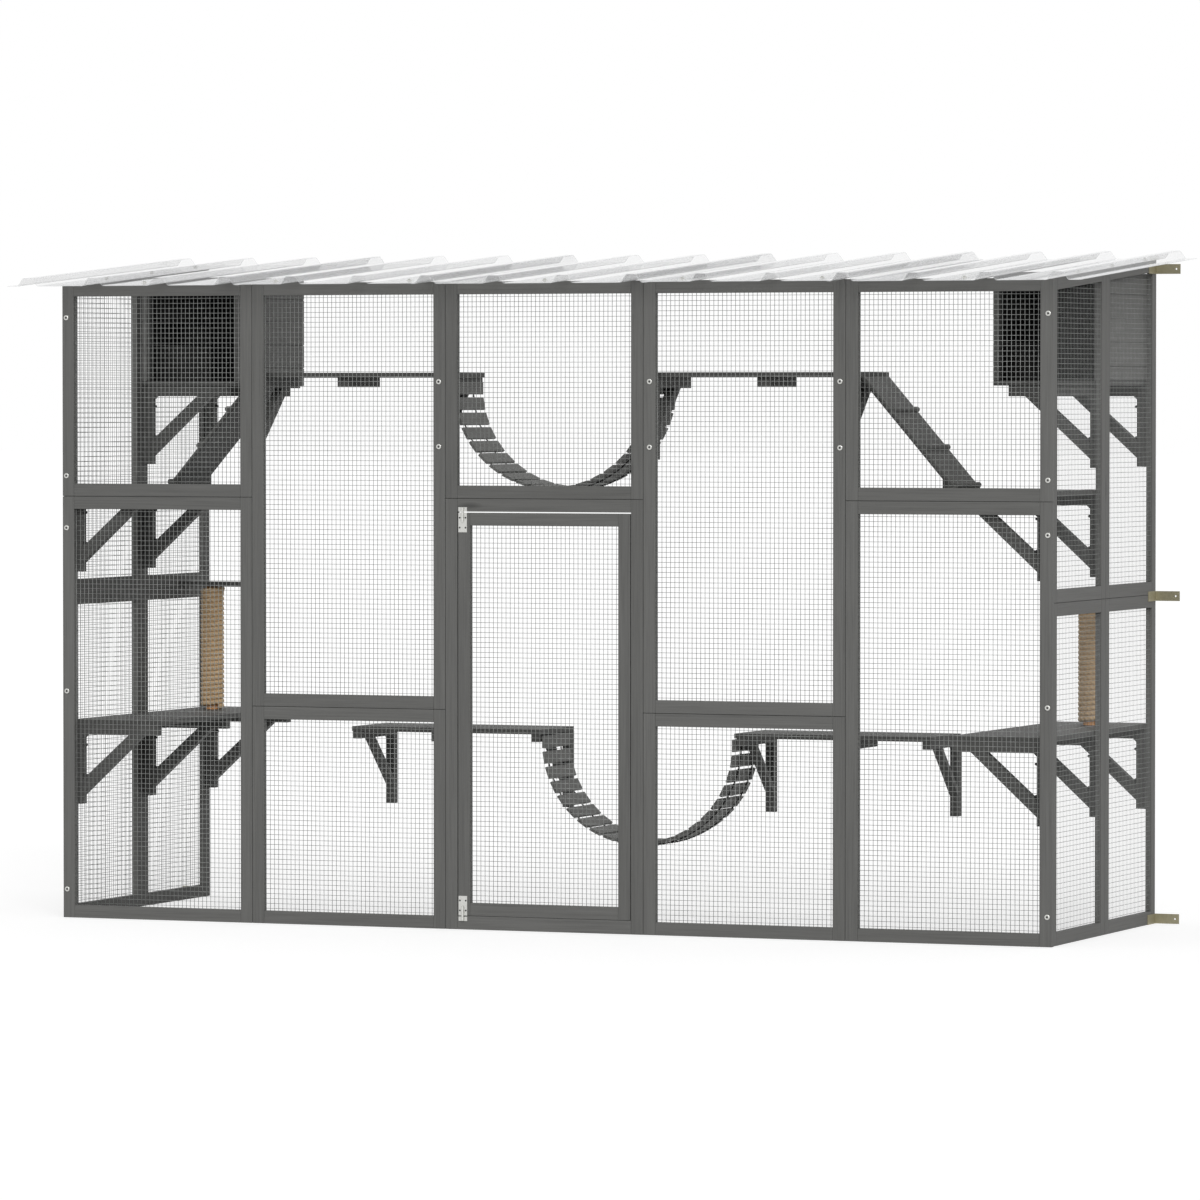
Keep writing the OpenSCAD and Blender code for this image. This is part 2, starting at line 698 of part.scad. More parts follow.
function tube_faces(rings, sides) = concat(
    [[for (j = [0 : sides - 1]) j]],
    [for (i = [0 : rings - 2], j = [0 : sides - 1]) let (k = (j + 1) % sides)
        [i * sides + j, (i + 1) * sides + j, (i + 1) * sides + k]],
    [for (i = [0 : rings - 2], j = [0 : sides - 1]) let (k = (j + 1) % sides)
        [i * sides + j, (i + 1) * sides + k, i * sides + k]],
    [[for (j = [sides - 1 : -1 : 0]) (rings - 1) * sides + j]]
);

module bridge_ropes(y0, z, sag) {
    path = rope_path(rope_top, sag);
    points = [for (i = [0 : len(path) - 1]) each tube_ring(path, i, bridge_rope_d / 2, rope_sides)];
    for (side = [-1, 1]) translate([0, y0 + slat_l / 2 + side * rope_gauge / 2, z])
        polyhedron(points, tube_faces(len(path), rope_sides));
}

upper_arm_z = upper_walk_z - board_t - bracket_bar;
lower_arm_z = lower_walk_z - board_t - lower_arm;
lower_slat_y = enclosure_d - lower_bridge_y - slat_l;

module upper_bridge_slats() color(timber) placed() slats(upper_bridge_y, upper_arm_z, upper_sag);

module lower_bridge_slats() color(timber) placed() translate([lower_shift, 0, 0])
    slats(lower_slat_y, lower_arm_z, lower_sag);

module upper_bridge_ropes() color("#2b2b2b") placed() bridge_ropes(upper_bridge_y, upper_arm_z, upper_sag);

module lower_bridge_ropes() color("#2b2b2b") placed() translate([lower_shift, 0, 0])
    bridge_ropes(lower_slat_y, lower_arm_z, lower_sag);

// Scratching posts: a core wound with rope, and a shelf on top
function post_in(side) = side < 0 ? left_post_in : right_post_in;

module at_post(side, z) translate([side * (side_in - post_in(side)), post_y, z]) children();

module post_core(side) color(sisal) placed() at_post(side, lower_z) cylinder(r = core_r, h = post_h, $fn = fine);

// The winding's centre line, with straight ends along the tangent
function coil_at(a) = [coil_r * cos(a), coil_r * sin(a), sisal_d / 2 + seat + coil_pitch * a / 360];
function coil_run(a) = [-sin(a), cos(a), 0];
coil_turn = 360 * sisal_turns;
coil_path = concat(
    [coil_at(0) - coil_run(0) * sisal_d],
    [for (i = [0 : sisal_turns * coil_rings]) coil_at(i * 360 / coil_rings)],
    [coil_at(coil_turn) + coil_run(coil_turn) * sisal_d]
);

function coil_ring(i) = let (
    n = sisal_turns * coil_rings,
    a = min(max(i - 1, 0), n) * 360 / coil_rings
) [for (j = [0 : coil_sides - 1]) let (w = 360 * j / coil_sides)
    coil_path[i] + [sisal_d / 2 * cos(w) * cos(a), sisal_d / 2 * cos(w) * sin(a), sisal_d / 2 * sin(w)]];

// Least gap between neighbouring turns, measured on points of both
coil_gap = min([for (i = [1 : coil_rings])
    norm(coil_path[i + coil_rings] - coil_path[i])]) - sisal_d;
echo(least_gap_of_winding = coil_gap);

module post_windings() color(sisal) placed() for (side = [-1, 1]) at_post(side, lower_z)
    polyhedron([for (i = [0 : len(coil_path) - 1]) each coil_ring(i)], tube_faces(len(coil_path), coil_sides));

module post_shelves() color(timber) placed() for (side = [-1, 1]) on_side(side)
    block(side_in - shelf_l, side_in, post_y - shelf_d / 2, post_y + shelf_d / 2, shelf_z - board_t, shelf_z);

// Angles that hold the side walls to the house wall
module wall_angles(side) color(brass) placed() on_side(side) for (z = angle_z) difference() {
    translate([side_out, 0, z]) linear_extrude(angle_h) polygon([
        [0, enclosure_d - angle_leg], [angle_t, enclosure_d - angle_leg], [angle_t, enclosure_d - angle_t],
        [angle_leg, enclosure_d - angle_t], [angle_leg, enclosure_d], [0, enclosure_d]
    ]);
    translate([side_out + angle_leg - angle_hole_in, enclosure_d + 1, z + angle_h / 2]) rotate([90, 0, 0])
        cylinder(d = angle_hole_d, h = angle_t + 2, $fn = fine);
}

front_panel(0, 0, high_seam);  // front_end_left_lower
front_panel(0, high_seam, front_h);  // front_end_left_upper
front_panel(1, 0, low_seam);  // front_mid_left_lower
front_panel(1, low_seam, front_h);  // front_mid_left_upper
front_panel(2, 0, high_seam);  // door_frame
front_panel(2, high_seam, front_h);  // front_over_door
front_panel(3, 0, low_seam);  // front_mid_right_lower
front_panel(3, low_seam, front_h);  // front_mid_right_upper
front_panel(4, 0, high_seam);  // front_end_right_lower
front_panel(4, high_seam, front_h);  // front_end_right_upper
front_netting();
side_wall_panel(-1, false, false);  // left_wall_front_lower
side_wall_panel(-1, false, true);  // left_wall_front_upper
side_wall_panel(-1, true, false);  // left_wall_back_lower
side_wall_panel(-1, true, true);  // left_wall_back_upper
side_netting(-1);  // left_wall_netting
side_wall_panel(1, false, false);  // right_wall_front_lower
side_wall_panel(1, false, true);  // right_wall_front_upper
side_wall_panel(1, true, false);  // right_wall_back_lower
side_wall_panel(1, true, true);  // right_wall_back_upper
side_netting(1);  // right_wall_netting
door_leaf();
door_netting();
hinge_frame_plates();
hinge_door_plates();
roof_sheet(0);  // roof_sheet_1
roof_sheet(1);  // roof_sheet_2
roof_sheet(2);  // roof_sheet_3
roof_sheet(3);  // roof_sheet_4
roof_sheet(4);  // roof_sheet_5
roof_screws();
lower_platform(-1);  // left_lower_platform
lower_platform(1);  // right_lower_platform
mid_platform(-1);  // left_mid_platform
mid_platform(1);  // right_mid_platform
cat_house_floors();
lower_platform_brackets();
mid_platform_brackets();
cat_house_brackets();
upper_walkway_brackets();
lower_walkway_brackets();
bracket_screws();
upper_walkways();
lower_walkways();
cat_house(-1);  // left_cat_house
cat_house(1);  // right_cat_house
ramp(-1);  // left_ramp
ramp(1);  // right_ramp
upper_bridge_slats();
upper_bridge_ropes();
lower_bridge_slats();
lower_bridge_ropes();
post_core(-1);  // left_post_core
post_core(1);  // right_post_core
post_windings();
post_shelves();
frame_bolts();
wall_angles(-1);  // left_wall_angles
wall_angles(1);  // right_wall_angles
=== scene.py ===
"""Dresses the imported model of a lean-to walk-in cat enclosure."""

import math
import random

import bmesh
import bpy
from bpy.props import FloatProperty, FloatVectorProperty, IntProperty, PointerProperty
from bpy.types import Operator, Panel, PropertyGroup
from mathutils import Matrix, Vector


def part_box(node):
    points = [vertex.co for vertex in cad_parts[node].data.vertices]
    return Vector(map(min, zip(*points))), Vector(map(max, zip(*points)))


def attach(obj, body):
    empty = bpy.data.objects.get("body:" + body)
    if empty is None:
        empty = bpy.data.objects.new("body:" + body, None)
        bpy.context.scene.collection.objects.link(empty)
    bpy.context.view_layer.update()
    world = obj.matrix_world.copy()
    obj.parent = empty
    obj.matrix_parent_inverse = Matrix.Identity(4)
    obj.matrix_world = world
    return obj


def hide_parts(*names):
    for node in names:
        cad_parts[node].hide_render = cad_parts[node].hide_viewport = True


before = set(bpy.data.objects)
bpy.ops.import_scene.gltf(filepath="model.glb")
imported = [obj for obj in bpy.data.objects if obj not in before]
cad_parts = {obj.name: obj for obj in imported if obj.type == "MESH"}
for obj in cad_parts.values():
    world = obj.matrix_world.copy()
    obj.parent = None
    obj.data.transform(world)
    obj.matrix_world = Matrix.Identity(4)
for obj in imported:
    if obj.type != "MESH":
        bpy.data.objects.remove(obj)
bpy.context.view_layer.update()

bl_info = {
    "name": "Walk-in Cat Enclosure",
    "version": (1, 0, 0),
    "blender": (4, 5, 0),
    "location": "View3D > Sidebar > Cat Enclosure",
    "description": "Timber, netting, roof, bridges and posts of a lean-to cat enclosure",
    "category": "Add Mesh",
}

# Sizes are in millimetres, as a joiner's drawing has them: x from the middle
# of the front wall, y back from its face, z up from the ground.
MM = 0.001
FACE_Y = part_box("door_frame")[0].y

# The walls and the door
FRONT_H = 1827
DEPTH = 950
SLOPE = math.atan(68 / DEPTH)
BAY = 600
BAR, BAR_T = 36, 18
SEAM = 0.6  # half the gap between two panels
JOINT = 0.25  # gap between a rail and its stile
SIDE_IN, SIDE_OUT = 1478, 1496
SIDE_JOINT = 484
SIDE_SEAM, HIGH_SEAM, LOW_SEAM = 939, 1216, 620
DOOR = (-261, 261, 39, 1176)
DOOR_SILL = 2.2  # how much higher than a rail the sill under the door is

# What stands inside
BOARD_T = 14
BACK_Y = 947
LOWER_Z, MID_Z, HOUSE_Z = 572, 1243, 1548
UPPER_WALK_Z, LOWER_WALK_Z = 1571, 533
LOWER_SHIFT = 13
INNER_BRACKET_X = 319.5
HOUSE_X, HOUSE_H, HOUSE_T = 1164, 290, 16


def at(x, y, z):
    """A place in the model's frame, in metres."""
    return Vector((x * MM, FACE_Y + y * MM, z * MM))


def srgb(r, g, b):
    """A colour as Blender's linear numbers, from 0 to 255 as a screen shows it."""
    return tuple((c / 255 / 12.92) if c < 11 else ((c / 255 + 0.055) / 1.055) ** 2.4
                 for c in (r, g, b))


def roof_z(y):
    """Height of the walls' upper edge under the roof."""
    return FRONT_H + y * math.tan(SLOPE)


def sides():
    """The words of the left and right pieces, and which way they stand."""
    return (("left", -1), ("right", 1))


# ---------------------------------------------------------------- values


class TimberValues(PropertyGroup):
    paint: FloatVectorProperty(
        name="Paint", description="Colour of the painted timber", subtype="COLOR", size=3,
        min=0, max=1, default=srgb(108, 108, 106))
    streaks: FloatProperty(
        name="Streaks", description="How far the grain shows through the paint",
        subtype="FACTOR", min=0, max=1, default=0.2)
    # The inner tone is painted shade: it darkens the paint of the pieces inside the enclosure
    inner: FloatProperty(
        name="Inner tone", description="How much darker the pieces inside the enclosure are",
        subtype="FACTOR", min=0, max=0.8, default=0.32)
    ease: FloatProperty(
        name="Eased edges", description="Width of the rounding on sawn edges", unit="LENGTH",
        min=0.0002, max=0.003, default=0.001)


class NettingValues(PropertyGroup):
    mesh_width: FloatProperty(
        name="Mesh width", description="Distance between the upright wires", unit="LENGTH",
        min=0.008, max=0.03, default=0.0129)
    mesh_height: FloatProperty(
        name="Mesh height", description="Distance between the level wires", unit="LENGTH",
        min=0.008, max=0.03, default=0.014)
    wire: FloatProperty(
        name="Wire", description="Width of the upright wires", unit="LENGTH",
        min=0.0006, max=0.002, default=0.00155)
    cross_wire: FloatProperty(
        name="Level wire", description="Width of the level wires", unit="LENGTH",
        min=0.0006, max=0.002, default=0.0012)
    rolled: FloatProperty(
        name="Rolled flat", description="Thickness of the rolled wires as a share of their width",
        subtype="FACTOR", min=0.3, max=1, default=0.42)
    colour: FloatVectorProperty(
        name="Zinc", description="Colour of the galvanised wire", subtype="COLOR", size=3,
        min=0, max=1, default=srgb(144, 146, 144))


class RoofValues(PropertyGroup):
    sheet: FloatProperty(
        name="Sheet", description="Thickness of the clear sheets", unit="LENGTH",
        min=0.0008, max=0.002, default=0.0012)
    fillet: FloatProperty(
        name="Rib rounding", description="Radius at the ribs' folds", unit="LENGTH",
        min=0.001, max=0.008, default=0.004)
    tint: FloatVectorProperty(
        name="Tint", description="Colour that the sheets have where they aren't clear",
        subtype="COLOR", size=3, min=0, max=1, default=srgb(246, 247, 248))
    # The slope tint is painted shade on the ribs' slopes
    shadow: FloatVectorProperty(
        name="Slope tint", description="Colour of the ribs' slopes", subtype="COLOR", size=3,
        min=0, max=1, default=srgb(236, 237, 238))
    veil: FloatProperty(
        name="Veil", description="How much of the tint shows where a sheet lies flat",
        subtype="FACTOR", min=0, max=1, default=0.08)
    slope_veil: FloatProperty(
        name="Slope veil", description="How much of the tint shows on the ribs' slopes",
        subtype="FACTOR", min=0, max=1, default=0.18)


class BracketValues(PropertyGroup):
    brace_end: FloatProperty(
        name="Brace end", description="Length of the brace's cut ends", unit="LENGTH",
        min=0.036, max=0.06, default=0.046)
    thin_brace_end: FloatProperty(
        name="Thin brace end", description="Length of those ends under the lower walkways",
        unit="LENGTH", min=0.02, max=0.05, default=0.024)
    screw_head: FloatProperty(
        name="Screw head", description="Diameter of the screw heads", unit="LENGTH",
        min=0.006, max=0.012, default=0.009)


class HouseValues(PropertyGroup):
    course: FloatProperty(
        name="Course", description="Height of one siding board", unit="LENGTH",
        min=0.05, max=0.2, default=0.068)
    first: FloatProperty(
        name="First course", description="Height of the lowest siding board", unit="LENGTH",
        min=0.02, max=0.2, default=0.039)


class RampValues(PropertyGroup):
    rungs: IntProperty(name="Rungs", description="Number of rungs on a ramp", min=2, max=4, default=3)
    rise: FloatProperty(
        name="Rung rise", description="Rise from one rung to the next", unit="LENGTH",
        min=0.06, max=0.11, default=0.1045)


class BridgeValues(PropertyGroup):
    slats: IntProperty(
        name="Slats", description="Number of slats in a bridge", min=17, max=22, default=21)
    rope: FloatProperty(
        name="Rope", description="Thickness of the bridge ropes", unit="LENGTH",
        min=0.004, max=0.008, default=0.006)
    colour: FloatVectorProperty(
        name="Rope colour", description="Colour of the bridge ropes", subtype="COLOR", size=3,
        min=0, max=1, default=srgb(27, 26, 25))


class PostValues(PropertyGroup):
    sisal: FloatProperty(
        name="Sisal rope", description="Thickness of the rope on the posts", unit="LENGTH",
        min=0.01, max=0.016, default=0.0136)
    pressed: FloatProperty(
        name="Pressed", description="How much wider than thick the wound rope is",
        min=1, max=1.4, default=1.27)
    colour: FloatVectorProperty(
        name="Sisal", description="Colour of the sisal rope", subtype="COLOR", size=3,
        min=0, max=1, default=srgb(255, 186, 118))


class HardwareValues(PropertyGroup):
    zinc: FloatVectorProperty(
        name="Bright zinc", description="Colour of the bolts, hinges and roof screws",
        subtype="COLOR", size=3, min=0, max=1, default=srgb(214, 214, 210))
    brass: FloatVectorProperty(
        name="Brass", description="Colour of the wall angles", subtype="COLOR", size=3,
        min=0, max=1, default=srgb(164, 158, 132))
    dark: FloatVectorProperty(
        name="Dark steel", description="Colour of the wood screws", subtype="COLOR", size=3,
        min=0, max=1, default=srgb(70, 70, 70))


class StageValues(PropertyGroup):
    floor: FloatVectorProperty(
        name="Floor", description="Colour of the floor", subtype="COLOR", size=3,
        min=0, max=1, default=(0.5, 0.5, 0.5))
    glow: FloatProperty(
        name="Floor glow", description="Strength of the white that the floor shows",
        min=0, max=1, default=0.62)
    sky: FloatProperty(name="Sky", description="Strength of the even light", min=0, max=2, default=0.62)
    sun: FloatProperty(name="Sun", description="Strength of the soft sun", min=0, max=5, default=1.35)


class EnclosureValues(PropertyGroup):
    timber: PointerProperty(type=TimberValues)
    netting: PointerProperty(type=NettingValues)
    roof: PointerProperty(type=RoofValues)
    brackets: PointerProperty(type=BracketValues)
    houses: PointerProperty(type=HouseValues)
    ramps: PointerProperty(type=RampValues)
    bridges: PointerProperty(type=BridgeValues)
    posts: PointerProperty(type=PostValues)
    hardware: PointerProperty(type=HardwareValues)
    stage: PointerProperty(type=StageValues)


# -------------------------------------------------------------- finishes


def node(tree, kind, inputs=None, **settings):
    """Adds a shader node; an input is a plain value or another node's output."""
    made = tree.nodes.new("ShaderNode" + kind)
    for key, value in settings.items():
        setattr(made, key, value)
    for key, value in (inputs or {}).items():
        if isinstance(value, bpy.types.NodeSocket):
            tree.links.new(value, made.inputs[key])
        else:
            made.inputs[key].default_value = value
    return made


def finish_named(name, **constants):
    """An existing finish by name, or a new one with its shader and those constants."""
    if name in bpy.data.materials:
        return bpy.data.materials[name], None, None
    finish = bpy.data.materials.new(name)
    finish.use_nodes = True
    tree = finish.node_tree
    tree.nodes.clear()
    shader = node(tree, "BsdfPrincipled")
    for key, value in constants.items():
        shader.inputs[key.replace("_", " ")].default_value = value
    node(tree, "OutputMaterial", {"Surface": shader.outputs[0]})
    return finish, tree, shader


def position(tree):
    """The place on the surface."""
    return node(tree, "NewGeometry").outputs["Position"]


def marked(tree, name, output="Fac"):
    """What a piece's mesh says at each point under that name."""
    return node(tree, "Attribute", attribute_name=name).outputs[output]


def noise_on(tree, place, stretch, detail=3.0, roughness=0.6):
    """Noise whose spots are 1/stretch metres long each way."""
    spread = node(tree, "VectorMath", {0: place, 1: stretch}, operation="MULTIPLY")
    return node(tree, "TexNoise", {"Vector": spread.outputs[0], "Scale": 1.0, "Detail": detail,
                                   "Roughness": roughness}).outputs[0]


def ramp_on(tree, value, stops):
    """A ramp of greys or colours over a value."""
    made = node(tree, "ValToRGB", {0: value})
    band = made.color_ramp
    while len(band.elements) < len(stops):
        band.elements.new(0.5)
    for element, (where, colour) in zip(band.elements, stops):
        element.position = where
        element.color = (*colour, 1) if isinstance(colour, tuple) else (colour, colour, colour, 1)
    return made.outputs[0]


def mixed(tree, factor, a, b, kind="MIX"):
    """Two colours in one; each is a plain colour or another node's output."""
    a, b = ((*c, 1) if isinstance(c, tuple) else c for c in (a, b))
    made = node(tree, "Mix", {0: factor, 6: a, 7: b}, data_type="RGBA", blend_type=kind)
    return made.outputs[2]


def counted(tree, kind, a, b):
    """Two numbers in one, such as their product."""
    return node(tree, "Math", {0: a, 1: b}, operation=kind).outputs[0]


def coloured(tree, shader, colour):
    tree.links.new(colour, shader.inputs["Base Color"])


def dulled(tree, shader, value, low, high):
    """A roughness that goes from low to high with a value."""
    span = node(tree, "MapRange", {"Value": value, "To Min": low, "To Max": high})
    tree.links.new(span.outputs[0], shader.inputs["Roughness"])


def bumped(tree, shader, height, depth):
    """A relief so many metres deep."""
    made = node(tree, "Bump", {"Height": height, "Distance": depth, "Strength": 1.0})
    tree.links.new(made.outputs[0], shader.inputs["Normal"])


def shade_of(colour, amount):
    """A lighter or darker shade of a colour."""
    return tuple(min(1.0, c * amount) for c in colour)


def painted_timber(values):
    """Matt grey paint on softwood, with long fine streaks of grain and faint knots; painted shade
    darkens it where a piece asks for it.
    """
    finish, tree, shader = finish_named("painted timber", Roughness=0.62, Specular_IOR_Level=0.2)
    if tree is None:
        return finish
    paint = tuple(values.paint)
    grain = marked(tree, "grain", "Vector")
    fine = noise_on(tree, grain, (5, 240, 240), 4.0, 0.65)
    broad = noise_on(tree, grain, (1.3, 34, 34), 2.0, 0.5)
    depth = 0.9 * values.streaks
    streaked = ramp_on(tree, fine, ((0.28, shade_of(paint, 1 - depth)), (0.47, paint),
                                    (0.72, shade_of(paint, 1 + 0.8 * depth))))
    clouded = ramp_on(tree, broad, ((0.3, 0.90), (0.7, 1.0)))
    board = mixed(tree, 1.0, streaked, clouded, "MULTIPLY")
    stretched = node(tree, "VectorMath", {0: grain, 1: (2.2, 9, 9)}, operation="MULTIPLY")
    spots = node(tree, "TexVoronoi", {"Vector": stretched.outputs[0], "Scale": 1.0})
    knots = ramp_on(tree, spots.outputs["Distance"], ((0.04, 0.66), (0.10, 1.0)))
    board = mixed(tree, 1.0, board, knots, "MULTIPLY")
    level = node(tree, "MapRange", {"Value": marked(tree, "tone"), "From Min": -1.0,
                                    "From Max": 1.0, "To Min": 0.93, "To Max": 1.06})
    # Painted shade: the mesh's shade numbers darken the paint inside the enclosure, inside the houses
    # and under the ramps, and a negative number paints light on the houses' outer walls
    light = counted(tree, "SUBTRACT", 1.0, marked(tree, "painted_shade"))
    lit = counted(tree, "MULTIPLY", level.outputs[0], light)
    coloured(tree, shader, node(tree, "VectorMath", {0: board, "Scale": lit},
                                operation="SCALE").outputs[0])
    dulled(tree, shader, fine, 0.52, 0.72)
    bumped(tree, shader, fine, 0.00025)
    return finish


def galvanised_wire(values):
    """Dull zinc with faint crystals."""
    finish, tree, shader = finish_named("galvanised wire", Metallic=0.35, Roughness=0.42)
    if tree is None:
        return finish
    spots = noise_on(tree, position(tree), (60, 60, 60), 2.0)
    coloured(tree, shader, ramp_on(tree, spots, ((0.35, shade_of(values.colour, 0.78)),
                                                 (0.65, shade_of(values.colour, 1.1)))))
    return finish


def clear_sheet(values):
    """Clear sheet: white where it is seen glancing, partly from its mirroring and partly a painted
    sheen; painted shade in grey on the slopes; pale along cut edges.
    """
    finish, tree, shader = finish_named("clear roof sheet", Roughness=0.05, IOR=1.49)
    if tree is None:
        return finish
    surface = node(tree, "NewGeometry")
    wave = noise_on(tree, surface.outputs["Position"], (9, 1.6, 9), 2.0, 0.5)
    up = node(tree, "SeparateXYZ", {0: surface.outputs["True Normal"]}).outputs["Z"]
    level = node(tree, "Math", {0: up}, operation="ABSOLUTE").outputs[0]
    tint, shadow = tuple(values.tint), tuple(values.shadow)
    # Painted shade: the ribs' slopes, by how steep they are, take the grey slope tint
    tinted = ramp_on(tree, level, ((0.2, tint), (0.45, shadow), (0.75, shadow), (0.96, tint)))
    wavy = ramp_on(tree, wave, ((0.3, 0.88), (0.7, 1.0)))
    coloured(tree, shader, mixed(tree, 1.0, tinted, wavy, "MULTIPLY"))
    # Painted sheen: the sheet grows more opaque in its white tint the more glancing it is seen, on top
    # of its real mirroring
    glancing = node(tree, "LayerWeight", {"Blend": 0.5}).outputs["Facing"]
    veil, slope = values.veil, values.slope_veil
    sheen = ramp_on(tree, glancing, ((0.0, veil), (0.5, slope * 0.5), (0.76, slope), (0.93, 0.92)))
    edges = ramp_on(tree, level, ((0.1, 0.45), (0.3, 0.0)))
    tree.links.new(counted(tree, "MAXIMUM", sheen, edges), shader.inputs["Alpha"])
    bumped(tree, shader, wave, 0.0003)
    return finish


def twisted_fibre(name, colour, dark, roughness, fine, hair, worn=0.62):
    """Rope: fibres along the strands, with painted shade in the grooves between them."""
    finish, tree, shader = finish_named(name, Roughness=roughness)
    if tree is None:
        return finish
    grain = marked(tree, "grain", "Vector")
    fibres = noise_on(tree, grain, (90, fine, fine), 3.0, 0.6)
    tufts = noise_on(tree, grain, (14, 60, 60), 2.0, 0.5)
    strand = ramp_on(tree, fibres, ((0.3, shade_of(colour, worn)), (0.5, tuple(colour)),
                                    (0.72, shade_of(colour, 1.25))))
    patches = ramp_on(tree, tufts, ((0.35, 0.0), (0.65, 0.35)))
    patched = mixed(tree, patches, strand, shade_of(colour, 0.5 + worn / 2))
    # Painted shade: the tone that twist marks darkens the grooves between the strands
    coloured(tree, shader, mixed(tree, marked(tree, "tone"), patched, shade_of(colour, dark)))
    bumped(tree, shader, fibres, hair)
    return finish


def post_core(values):
    """The bare end of a post's core: raw softwood."""
    finish, tree, shader = finish_named("post core", Roughness=0.75)
    if tree is None:
        return finish
    rings = noise_on(tree, position(tree), (400, 400, 12), 3.0)
    coloured(tree, shader, ramp_on(tree, rings, ((0.35, shade_of(values.colour, 0.6)),
                                                 (0.65, tuple(values.colour)))))
    bumped(tree, shader, rings, 0.0003)
    return finish


def plated_metal(name, colour, roughness, spots, metallic=0.85):
    """Plated metal with faint clouds and fine scratches."""
    finish, tree, shader = finish_named(name, Metallic=metallic)
    if tree is None:
        return finish
    place = position(tree)
    clouds = noise_on(tree, place, (spots, spots, spots), 3.0)
    coloured(tree, shader, ramp_on(tree, clouds, ((0.3, shade_of(colour, 0.84)),
                                                  (0.7, tuple(colour)))))
    scratches = noise_on(tree, place, (900, 900, 60), 2.0)
    dulled(tree, shader, scratches, roughness - 0.1, roughness + 0.12)
    bumped(tree, shader, scratches, 0.00004)
    return finish


def bright_zinc(values):
    return plated_metal("bright zinc", values.zinc, 0.34, 400)


def dark_steel(values):
    return plated_metal("dark steel", values.dark, 0.5, 300, 0.3)


# ------------------------------------------------------------ the bench


def unit(axis):
    """A step of one along an axis."""
    return Vector([1.0 if i == axis else 0.0 for i in range(3)])


def skin(rings, size):
    """The faces of a tube of so many rings of that many points, with its two ends."""
    faces = []
    for k in range(rings - 1):
        for j in range(size):
            n = (j + 1) % size
            faces.append((k * size + j, k * size + n, (k + 1) * size + n, (k + 1) * size + j))
    last = (rings - 1) * size
    return faces + [tuple(range(size - 1, -1, -1)), tuple(range(last, last + size))]


def from_lowest(face):
    """The same face, told from its lowest corner on."""
    start = face.index(min(face))
    return face[start:] + face[:start]


